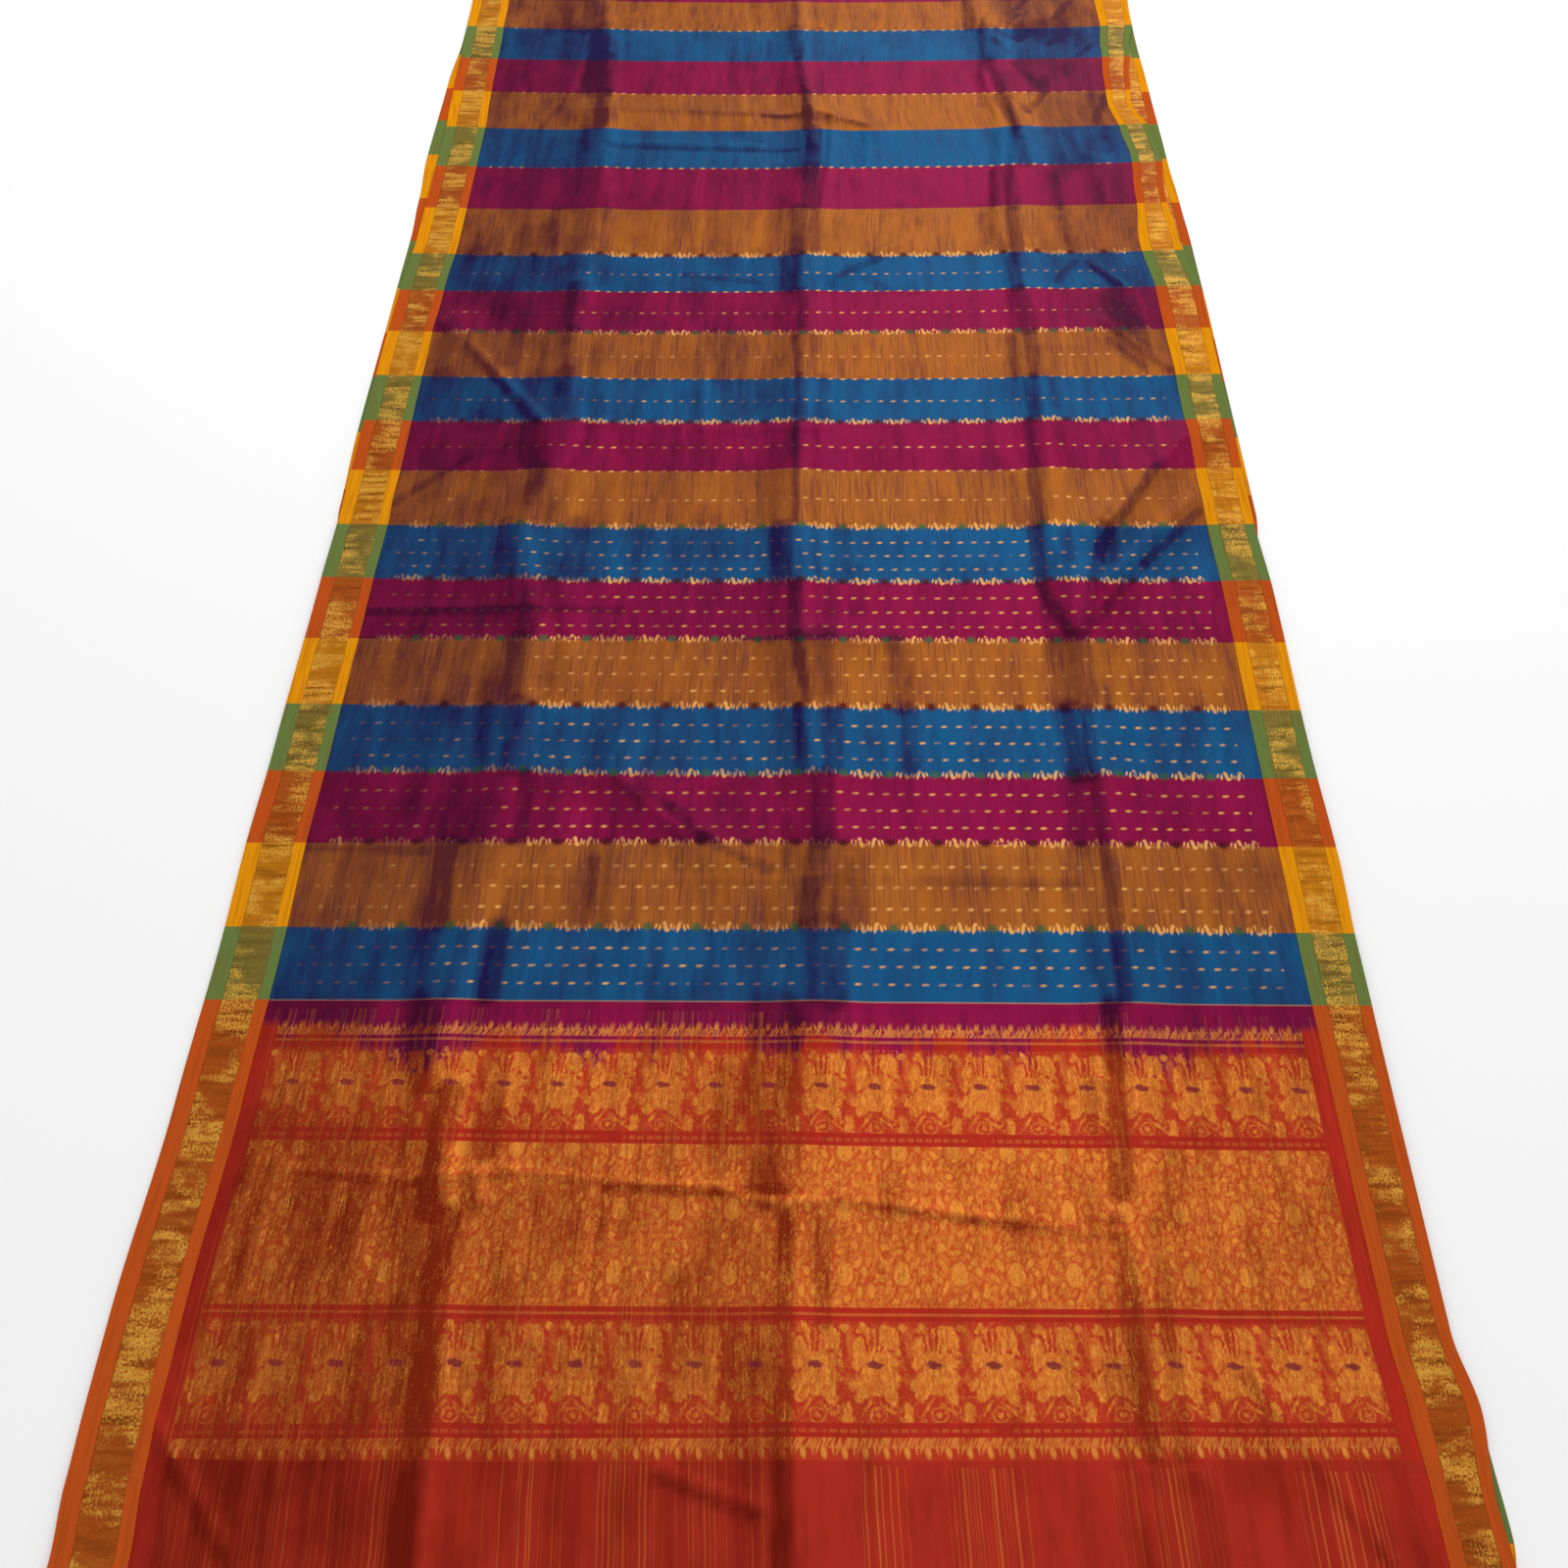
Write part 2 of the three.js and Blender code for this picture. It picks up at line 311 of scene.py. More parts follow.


# How strongly random streaks and patches change the shot silk's painted light and shade, how
# much painted light the figures take, and the height of threads and rumples in millimetres
STREAKED = 1.15
PATCHED = 0.7
FIGURE_GAIN = 2.0
FIGURE_DROP = 0.62
THREAD_RELIEF = 0.05
RUMPLE_RELIEF = 1.5
SILK_SPECULAR = 0.0


def dye(red, green, blue):
    """A colour as the eye reads it, 0 to 255, as the light it sends back."""
    shares = (channel / 255 for channel in (red, green, blue))
    return tuple(s / 12.92 if s <= 0.04045 else ((s + 0.055) / 1.055) ** 2.4 for s in shares)


class Silk:
    """A silk material, with the places on the cloth and the looks that its threads give."""

    def __init__(self, name):
        self.material = bpy.data.materials.new(name)
        self.material.use_nodes = True
        self.tree = self.material.node_tree
        self.shader = self.tree.nodes["Principled BSDF"]
        start = Signal(self.tree, None)
        metres = start.add("ShaderNodeUVMap", {"uv_map": "Cloth"}, {})
        self.place = metres.scaled(1 / MM, 1 / MM)
        self.across, self.along, _ = self.place.parts()
        attribute = "ShaderNodeAttribute"
        self.stripe = start.add(attribute, {"attribute_name": "stripe"}, {}, output=2)
        # tone: the light and shade painted on each point
        self.tone = start.add(attribute, {"attribute_name": "tone"}, {}, output=2)

    def clouds(self, wide, long, detail=2.0, roughness=0.5):
        """Noise with patches about this wide across the cloth and this long along it."""
        sockets = {"Scale": 1.0, "Detail": detail, "Roughness": roughness}
        sockets["Vector"] = self.place.scaled(1 / wide, 1 / long)
        return self.place.add("ShaderNodeTexNoise", {"noise_dimensions": "2D"}, sockets)

    def ruffled(self, reach, size):
        """The place moved about by up to this far, so that figures drawn there turn ragged."""
        sockets = {"Scale": 1.0, "Detail": 1.0, "Vector": self.place.scaled(1 / size, 1 / size)}
        noise = self.place.add("ShaderNodeTexNoise", {"noise_dimensions": "2D"}, sockets, output=1)
        moved = {0: noise, 1: (reach * 2, reach * 2, 0.0), 2: (-reach, -reach, 0.0)}
        moved = self.place.add("ShaderNodeVectorMath", {"operation": "MULTIPLY_ADD"}, moved)
        place = {0: self.place, 1: moved}
        return self.place.add("ShaderNodeVectorMath", {"operation": "ADD"}, place).parts()

    def shot_tone(self):
        """Painted light and shade from the lie of the cloth, then random streaks and patches."""
        streaks = self.clouds(24, 170, detail=4.0, roughness=0.66)
        patches = self.clouds(60, 75, detail=3.0, roughness=0.6)
        mixed = self.tone + (streaks - 0.5) * STREAKED + (patches - 0.5) * PATCHED
        return mixed.held()

    def figure_tone(self, tone):
        """Painted light on gold figures: they brighten later than the ground, then more."""
        return tone.math("MULTIPLY_ADD", FIGURE_GAIN, -FIGURE_DROP).held()

    def warp_lines(self, share):
        """Fine dark warp threads of uneven strength, seen through every colour."""
        lines = self.clouds(2.0, 60, detail=2.0)
        groups = self.clouds(26, 260, detail=2.0)
        return lines.above(0.56, 0.24) * groups.above(0.44, 0.22) * share

    def grain(self):
        """Height of the weave's slubs and of small rumples, in millimetres."""
        warp = self.clouds(1.1, 30, detail=1.0)
        rumples = self.clouds(16, 70, detail=3.0, roughness=0.55)
        return warp * THREAD_RELIEF + rumples * RUMPLE_RELIEF

    def finish(self, colour, roughness, metallic, relief):
        sockets = self.shader.inputs
        self.tree.links.new(colour.socket, sockets["Base Color"])
        for key, value in (("Roughness", roughness), ("Metallic", metallic)):
            if isinstance(value, Signal):
                self.tree.links.new(value.socket, sockets[key])
            else:
                sockets[key].default_value = value
        bump = relief.add("ShaderNodeBump", {}, {"Height": relief, "Distance": MM})
        self.tree.links.new(bump.socket, sockets["Normal"])
        sockets["Specular IOR Level"].default_value = SILK_SPECULAR
        return self.material


# The three stripe colours, as shaded and lit copies: painted full in the light and deep where the
# cloth turns from it
BLUE = (dye(27, 24, 68), dye(23, 82, 125))
BRONZE = (dye(86, 36, 32), dye(164, 93, 33))
MAGENTA = (dye(66, 12, 40), dye(136, 20, 64))
PURPLE_WARP = dye(60, 20, 56)
UNDER_ROUGHNESS = 0.45
SILK_METAL = 0.2
WARP_SHOWN = ((0.2, 0.2, 0.2), (0.46, 0.46, 0.46), (0.22, 0.22, 0.22))
STRIPES_A_REPEAT = 3


def by_stripe(silk, first, second, third):
    """One of three values for each stripe in turn."""
    phase = silk.stripe.math("WRAP", float(STRIPES_A_REPEAT), 0.0) / STRIPES_A_REPEAT
    return phase.charted([(0.0, first), (1 / 3, second), (2 / 3, third)])


def striped_colour(silk):
    """The body's stripes, deep or full by the painted light and shade. Each shows its own share of
    the dark warp.
    """
    deep = by_stripe(silk, BLUE[0], BRONZE[0], MAGENTA[0])
    full = by_stripe(silk, BLUE[1], BRONZE[1], MAGENTA[1])
    share, _, _ = by_stripe(silk, *WARP_SHOWN).parts()
    return silk.warp_lines(share).dyed(silk.shot_tone().dyed(deep, full), PURPLE_WARP)


under_body = lay_cloth(
    "silk_body_under",
    even_places(BODY_START, BODY_END, UNDER_CELL),
    even_places(near_y, turn_y, UNDER_CELL),
    lay_under,
)
under_silk = Silk("striped silk of the under layer")
under_body.data.materials.append(
    under_silk.finish(striped_colour(under_silk), UNDER_ROUGHNESS, SILK_METAL, under_silk.grain())
)
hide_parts("body_under")

# The borders of the under layer
# Woven in one with the body: a yellow warp crossed by the body's coloured wefts, so squares
# of green, yellow and orange follow the stripes. A band of gold thread runs along each.
UNDER_BORDER_CELL = 7
GREEN_SQUARE = dye(98, 120, 62)
YELLOW_SQUARE = dye(222, 142, 14)
ORANGE_SQUARE = dye(186, 78, 27)
GOLD_OVER_GREEN = dye(112, 98, 44)
GOLD_OVER_YELLOW = dye(176, 106, 18)
GOLD_OVER_ORANGE = dye(154, 70, 22)
# Painted highlight and painted shade for the gold band's pleats
GOLD_GLINT = dye(222, 168, 66)
GOLD_SHADE = dye(92, 50, 18)
ORANGE_WARP = dye(130, 62, 24)
WARP_STRENGTH = 0.35
GOLD_BAND_SOFT = 1.2
GOLD_BAND_RELIEF = 2.0
BORDER_ROUGHNESS = 0.5
GOLD_SMOOTHER = 0.12
GOLD_METAL = 0.2

# How strongly the painted glints and painted shade show on the gold band, and how much more in its
# painted lit patches
GLINT_SHOWN = 0.1
GLINT_LIT = 0.62
SHADE_SHOWN = 0.22
SHADE_LIT = 0.3


class Band(namedtuple("Band", "start end")):
    """A stretch across or along the cloth, in millimetres."""

    @property
    def middle(self):
        return (self.start + self.end) / 2

    @property
    def half(self):
        return (self.end - self.start) / 2


GOLD_BANDS = {"left": Band(17, 51), "right": Band(1103, 1137)}


def border_silk(name, side):
    """Squares of colour, and the gold band with painted glints where its pleats would catch the
    light and painted shade between.
    """
    silk = Silk(name)
    squares = by_stripe(silk, GREEN_SQUARE, YELLOW_SQUARE, ORANGE_SQUARE)
    bands = by_stripe(silk, GOLD_OVER_GREEN, GOLD_OVER_YELLOW, GOLD_OVER_ORANGE)
    striped = silk.stripe.above(0.0, 0.01)
    squares = striped.dyed(ORANGE_SQUARE, squares)
    bands = striped.dyed(GOLD_OVER_ORANGE, bands)
    warp = silk.clouds(2.4, 90, detail=2.0)
    squares = (warp.above(0.58, 0.25) * WARP_STRENGTH).dyed(squares, ORANGE_WARP)
    band = GOLD_BANDS[side]
    in_band = silk.across.within(band.middle, band.half, GOLD_BAND_SOFT)
    lit = silk.clouds(60, 42, detail=3.0, roughness=0.65).above(0.5, 0.16)
    pleats = silk.clouds(54, 8, detail=2.0)
    threads = silk.clouds(2.0, 2.6, detail=1.0)
    bright = (pleats * 0.6 + threads * 0.7 + lit * 0.1).above(0.74, 0.24)
    bright = bright * (lit * GLINT_LIT + GLINT_SHOWN)
    shaded = pleats.below(0.38, 0.14) * (lit * SHADE_LIT + SHADE_SHOWN)
    bands = bright.dyed(shaded.dyed(bands, GOLD_SHADE), GOLD_GLINT)
    colour = in_band.dyed(squares, bands)
    relief = silk.grain() + in_band * pleats * GOLD_BAND_RELIEF
    roughness = BORDER_ROUGHNESS - in_band * GOLD_SMOOTHER
    return silk.finish(colour, roughness, in_band * GOLD_METAL, relief)


for side, start in (("left", 0), ("right", BODY_END)):
    border = lay_cloth(
        "silk_border_" + side + "_under",
        even_places(start, start + BORDER_WIDTH, UNDER_BORDER_CELL),
        even_places(near_y, turn_y, UNDER_BORDER_CELL),
        lay_under,
    )
    border.data.materials.append(border_silk("border silk of the under layer, " + side, side))
    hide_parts("border_" + side + "_under")

# The striped body, up to the fold and round it
# The upper layer rests on the under one, with three lengthwise folds from storage and slanting
# creases between them. It turns down softly at the far end. Gold dashes mark some stripe lines.
FLOWERED_END = 1945
STRIPED_CELL = (4.2, 5.8)
TURN_RADIUS = 4
TURN_CELL = 1.2
TURN_LIFT_LENGTH = 80
UPPER_REST = 1.5

UpperEdge = namedtuple("UpperEdge", "y left body_right right")
UPPER_OUTLINE = [UpperEdge(*row) for row in (
    (1375, -568, 514, 574),
    (1270, -567, 517, 572),
    (1169, -564, 509, 557),
    (1075, -563, 503, 546),
    (990, -561, 501, 539),
    (905, -558, 512, 560),
    (830, -558, 519, 566),
    (715, -558, 513, 558),
    (590, -558, 504, 564),
    (470, -563, 513, 578),
    (280, -565, 514, 576),
    (-30, -564, 513, 572),
    (-140, -566, 515, 575),
    (-400, -569, 513, 572),
    (-550, -572, 513, 574),
    (-660, -571, 512, 571),
    (-850, -574, 513, 570),
    (-1060, -581, 515, 570),
    (-1130, -581, 520, 580),
    (-1200, -580, 524, 574),
    (-1260, -576, 525, 577),
    (-1375, -575, 519, 575),
)]

Ridges = namedtuple("Ridges", "y left centre right")
STORAGE_FOLDS = [Ridges(*row) for row in (
    (1375, -342, -5, 309),
    (1150, -318, 5, 330),
    (900, -303, 28, 350),
    (650, -296, 12, 330),
    (400, -312, 18, 326),
    (150, -300, 4, 328),
    (-50, -336, 2, 326),
    (-250, -304, 12, 335),
    (-500, -310, 34, 340),
    (-750, -332, 28, 334),
    (-950, -320, -4, 322),
    (-1150, -296, 4, 322),
    (-1375, -288, 0, 318),
)]

Section = namedtuple("Section", "name left_flank left_slow right_flank right_slow height")
FOLD_SECTIONS = [
    Section("left", 42, 190, 30, 240, 7),
    Section("centre", 46, 62, 28, 270, 6.5),
    Section("right", 36, 55, 40, 160, 7),
]

# Smaller ribs beside the storage folds, too fine for the solid: how far each lies from its
# fold, over which stretch of y, the width of its two flanks and its height
Rib = namedtuple("Rib", "fold offset start end left_flank right_flank height")
FOLD_RIBS = [Rib(*row) for row in (
    ("right", -38, -1257, -690, 18, 14, 2.6),
    ("right", -30, 560, 1120, 16, 14, 2.0),
    ("right", 34, -1257, -960, 16, 20, 2.0),
    ("right", 40, 300, 900, 20, 24, 1.8),
    ("centre", 28, 560, 1040, 12, 14, 2.2),
    ("centre", 30, -330, 260, 14, 18, 1.8),
    ("centre", 36, -1000, -740, 14, 20, 1.8),
    ("centre", -46, -1000, -560, 22, 20, 1.6),
    ("left", 46, -330, 380, 20, 30, 1.8),
    ("left", -60, 900, 1375, 24, 30, 1.8),
    ("left", 60, -760, -420, 24, 30, 1.6),
    ("left", -58, -1257, -800, 24, 30, 1.8),
)]
RIB_FADE = 60

Crease = namedtuple("Crease", "x0 y0 x1 y1 height width")
CREASES = [Crease(*row) for row in (
    (-480, 370, -330, 140, 6, 62),
    (-500, 10, -385, 115, 4, 52),
    (510, 140, 385, -40, 7, 60),
    (385, -40, 335, -230, 6, 58),
    (500, 20, 375, -150, 5, 50),
    (430, 385, 505, 290, 4, 50),
    (490, 1335, 385, 1250, 5, 55),
    (20, 955, 115, 905, 5, 48),
    (-340, 950, -50, 944, 3, 50),
    (-190, -450, -60, -560, 5, 52),
    (60, -540, 20, -640, 4, 48),
    (-50, -235, 120, -245, 4, 48),
    (130, 560, 60, 505, 4, 48),
    (-450, -925, -250, -925, 1.4, 44),
    (-250, -925, -20, -945, 1.0, 44),
    (-20, -945, 300, -972, 0.8, 44),
    (390, -1100, 480, -1250, 3, 58),
    (-520, -1150, -430, -1260, 3.5, 55),
)]

# Sharper creases, too small for the solid, each placed one by one
FINE_CREASES = [Crease(*row) for row in (
    (14, 1030, 24, 850, 2.5, 15),
    (-290, 856, -60, 852, 1.6, 12),
    (160, 600, 60, 480, 2.0, 13),
    (120, 555, 80, 520, 1.5, 11),
    (430, 530, 470, 480, 2.0, 14),
    (-190, -450, -110, -530, 1.6, 11),
    (-100, -520, -40, -560, 1.6, 11),
    (60, -560, 20, -640, 2.4, 14),
    (-50, -235, 120, -245, 1.4, 10),
    (-500, -187, -300, -184, 1.3, 14),
    (-280, 158, 50, 150, 1.2, 16),
    (-300, -586, 300, -582, 0.7, 9),
    (340, 1230, 375, 1285, 2.4, 14),
    (312, 1225, 335, 1285, 2.0, 13),
    (385, 1235, 400, 1290, 2.0, 13),
    (360, 970, 400, 1020, 2.2, 15),
    (345, 1000, 352, 880, 2.4, 14),
    (-370, 1030, -410, 930, 1.8, 18),
    (-340, 952, 16, 944, 1.2, 11),
    (16, 956, 110, 908, 2.6, 13),
    (-488, 378, -330, 160, 2.4, 16),
    (505, 135, 385, -40, 2.6, 14),
    (385, -40, 338, -230, 2.6, 14),
    (500, 20, 370, -150, 2.4, 13),
    (432, 388, 505, 290, 2.2, 14),
    (-180, -400, -184, -630, 1.5, 12),
    (-128, 320, -120, 150, 1.2, 12),
    (160, 700, 178, 560, 1.2, 12),
    (455, 830, 470, 700, 1.6, 16),
    (-450, -918, -330, -930, 1.2, 10),
    (-330, -930, -250, -920, 1.8, 11),
    (-250, -920, -60, -935, 1.0, 9),
    (-60, -935, -16, -951, 1.6, 10),
    (-16, -951, 50, -945, 1.6, 10),
    (50, -945, 300, -975, 1.4, 9),
    (-312, -908, -316, -940, 2.6, 13),
    (-282, -925, -276, -950, 3.0, 14),
    (298, -820, 292, -1257, 2.4, 14),
    (390, -1100, 480, -1250, 1.2, 11),
    (-520, -1150, -440, -1250, 1.6, 12),
    (-100, -1188, -20, -1216, 1.8, 13),
)]

WAVE_HEIGHT = 1.4
WAVE_ACROSS = 118
WAVE_ALONG = 240


def away_from(line, x, y):
    """Distance from a crease or a streak, which is straight from one end to the other."""
    run_x = line.x1 - line.x0
    run_y = line.y1 - line.y0
    share = ((x - line.x0) * run_x + (y - line.y0) * run_y) / (run_x**2 + run_y**2)
    share = np.clip(share, 0, 1)
    return np.hypot(x - line.x0 - run_x * share, y - line.y0 - run_y * share)


def crease_height(creases, x, y):
    height = np.zeros_like(x)
    for crease in creases:
        height += crease.height * ease(1 - away_from(crease, x, y) / crease.width)
    return height


def fold_height(x, y):
    """The storage folds: each rises on its left flank and falls away on its right."""
    height = np.zeros_like(x)
    for fold in FOLD_SECTIONS:
        offset = x - read_table(STORAGE_FOLDS, fold.name, y)
        flank = np.where(offset < 0, fold.left_flank, fold.right_flank)
        slow = np.where(offset < 0, fold.left_slow, fold.right_slow)
        away = np.abs(offset)
        height += fold.height * (ease(1 - away / flank) + ease(1 - away / slow)) / 2
    return height


def rib_height(x, y):
    height = np.zeros_like(x)
    for rib in FOLD_RIBS:
        offset = x - rib.offset - read_table(STORAGE_FOLDS, rib.fold, y)
        flank = np.where(offset < 0, rib.left_flank, rib.right_flank)
        ends = ease((y - rib.start) / RIB_FADE) * ease((rib.end - y) / RIB_FADE)
        height += rib.height * ends * ease(1 - np.abs(offset) / flank)
    return height


def small_folds(x, y):
    return fold_height(x, y) + crease_height(FINE_CREASES, x, y) + rib_height(x, y)


def upper_height(x, y):
    """Height of the upper layer's top face above the floor."""
    to_turn = ease(1 - (turn_y - y) / TURN_LIFT_LENGTH)
    turn_lift = 2 * TURN_RADIUS - SILK_WALL - UPPER_REST
    wave = WAVE_HEIGHT * (1 + np.sin(x / WAVE_ACROSS) * np.cos(y / WAVE_ALONG))
    folds = small_folds(x, y) + crease_height(CREASES, x, y) + wave
    return SILK_WALL + UPPER_REST + turn_lift * to_turn + folds * (1 - to_turn)


# The light and shade painted on the cloth: the left panel's painted tone, and how it changes from
# a storage fold on, over this width across and from this y on over this length. Less than 0 is the
# other way.
LEFT_PANEL_TONE = 0.42
FAR_GAIN = 0.07
ALL_ALONG = -1400
Change = namedtuple("Change", "fold offset width gain start length")
TONE_CHANGES = [
    Change("left", -8, 24, 0.26, ALL_ALONG, 1),
    Change("centre", 0, 40, 0.22, ALL_ALONG, 1),
    Change("right", 0, 60, -0.16, ALL_ALONG, 1),
    Change("centre", 0, 40, -0.13, 900, 300),
    Change("right", 0, 60, -0.20, 200, 400),
    Change("centre", 0, -40, -0.10, -850, -120),
]

# Painted shade from the slope: a slope across or along changes the painted tone, to these limits
SLOPE_TONE = 0.7
SLOPE_STEP = 2.0
MOST_BRIGHTER = 0.3
MOST_DARKER = 0.4

# Painted shade where the shot silk turns from the light: dark streaks and soft patches along the
# folds and creases, each from one end to the other, with its half width and how much darker it is;
# less than 0 paints a highlight
STREAK_EDGE = 2.0
STREAK_SPREAD = 1.25
PAINTED_SHADE_STRENGTH = 1.2
Streak = namedtuple("Streak", "x0 y0 x1 y1 width depth")
LEFT_SHADE_STREAKS = [Streak(*row) for row in (
    (-370, 1345, -365, 1235, 34, 0.22),
    (-286, 1345, -286, 1290, 8, 0.30),
    (-420, 1200, -350, 1150, 60, 0.17),
    (-325, 1225, -322, 1130, 24, 0.21),
    (-326, 1118, -324, 1012, 27, 0.32),
    (-370, 1005, -405, 905, 6, 0.15),
    (-311, 1008, -311, 905, 12, 0.45),
    (-345, 895, -345, 800, 14, 0.10),
    (-345, 780, -350, 680, 20, 0.08),
    (-281, 665, -280, 565, 8, 0.28),
    (-358, 665, -356, 565, 8, 0.12),
    (-400, 550, -380, 470, 90, 0.10),
    (-282, 550, -278, 480, 14, 0.26),
    (-306, 462, -306, 375, 18, 0.35),
    (-480, 385, -382, 219, 7, 0.30),
    (-382, 219, -344, 160, 7, 0.14),
    (-383, 360, -385, 290, 12, 0.15),
    (-303, 360, -300, 265, 14, 0.30),
    (-305, 262, -300, 170, 20, 0.22),
    (-355, 250, -385, 185, 30, 0.08),
    (-345, 150, -340, 80, 14, 0.28),
    (-501, -4, -413, 88, 7, 0.20),
    (-322, 60, -318, -30, 22, 0.20),
    (-350, -42, -350, -128, 16, 0.16),
    (-266, -35, -266, -125, 15, 0.30),
    (-192, -40, -190, -130, 8, 0.25),
    (-308, -140, -310, -228, 14, 0.26),
    (-500, -192, -200, -188, 6, 0.30),
    (-317, -240, -317, -335, 13, 0.32),
    (-400, -250, -380, -320, 50, 0.07),
    (-302, -345, -300, -435, 18, 0.32),
    (-200, -350, -210, -430, 14, 0.20),
    (-286, -445, -284, -535, 9, 0.40),
    (-357, -545, -357, -640, 14, 0.35),
    (-205, -560, -205, -640, 8, 0.30),
    (-510, -545, -380, -550, 6, 0.20),
    (-293, -650, -295, -728, 14, 0.40),
    (-340, -650, -345, -725, 10, -0.20),
    (-360, -740, -345, -830, 16, 0.20),
    (-328, -745, -330, -830, 8, -0.25),
    (-276, -775, -278, -900, 14, 0.22),
    (-236, -945, -238, -1085, 15, 0.14),
    (-315, -840, -318, -960, 14, 0.40),
    (-303, -965, -299, -1168, 13, 0.40),
    (-299, -1195, -296, -1257, 13, 0.30),
    (-450, -1180, -430, -1257, 40, 0.09),
)]
CENTRE_SHADE_STREAKS = [Streak(*row) for row in (
    (-5, 1345, -5, 1235, 7, 0.35),
    (-8, 1225, 0, 1130, 12, 0.30),
    (35, 1225, 33, 1130, 11, 0.30),
    (0, 1120, 14, 1012, 8, 0.40),
    (34, 1075, 36, 1012, 9, 0.25),
    (16, 1005, 16, 900, 9, 0.50),
    (-290, 956, -10, 944, 9, 0.18),
    (-52, 938, 8, 936, 7, 0.35),
    (18, 936, 110, 908, 7, 0.40),
    (18, 925, 60, 910, 6, 0.30),
    (28, 895, 26, 800, 14, 0.50),
    (-290, 843, 0, 838, 6, 0.35),
    (22, 785, 22, 680, 14, 0.45),
    (160, 700, 178, 640, 6, 0.20),
    (4, 668, 4, 560, 14, 0.40),
    (27, 668, 27, 560, 7, 0.40),
    (60, 492, 125, 542, 7, 0.40),
    (95, 500, 130, 470, 10, 0.20),
    (-159, 500, -52, 485, 6, 0.28),
    (-8, 548, -8, 468, 16, 0.35),
    (8, 460, 10, 372, 7, 0.30),
    (-85, 355, -88, 270, 32, 0.18),
    (3, 350, 5, 265, 7, 0.40),
    (26, 350, 27, 265, 7, 0.35),
    (8, 260, 8, 180, 8, 0.40),
    (40, 260, 42, 175, 10, 0.25),
    (3, 160, 3, -30, 6, 0.40),
    (-14, -40, -14, -130, 14, 0.4),
    (60, -45, 58, -130, 13, 0.30),
    (80, -120, 80, -180, 14, 0.22),
    (3, -140, 3, -230, 9, 0.40),
    (48, -140, 48, -228, 9, 0.30),
    (-50, -236, 125, -236, 6, 0.38),
    (34, -245, 36, -300, 30, 0.30),
    (100, -345, 104, -430, 30, 0.09),
    (5, -232, 18, -335, 7, 0.45),
    (124, -250, 124, -335, 18, 0.33),
    (8, -345, 14, -435, 7, 0.45),
    (47, -350, 47, -430, 13, 0.35),
    (131, -345, 131, -430, 12, 0.38),
    (-171, -465, -128, -492, 9, 0.28),
    (-128, -492, -90, -531, 9, 0.26),
    (-90, -531, -20, -570, 8, 0.25),
    (36, -445, 38, -535, 13, 0.45),
    (30, -545, 18, -640, 12, 0.40),
    (62, -560, 60, -630, 22, 0.28),
    (87, -581, 300, -583, 5, 0.22),
    (40, -650, 40, -725, 22, 0.37),
    (-14, -745, -14, -925, 30, 0.26),
    (-60, -825, -60, -900, 24, 0.15),
    (-160, -935, 0, -938, 6, 0.25),
    (-84, -1020, -84, -1110, 22, 0.12),
    (0, -965, 0, -1257, 10, 0.45),
    (33, -965, 33, -1060, 8, 0.35),
    (40, -940, 170, -962, 6, 0.28),
    (170, -962, 290, -966, 6, 0.22),
    (-100, -1188, -20, -1216, 7, 0.25),
)]
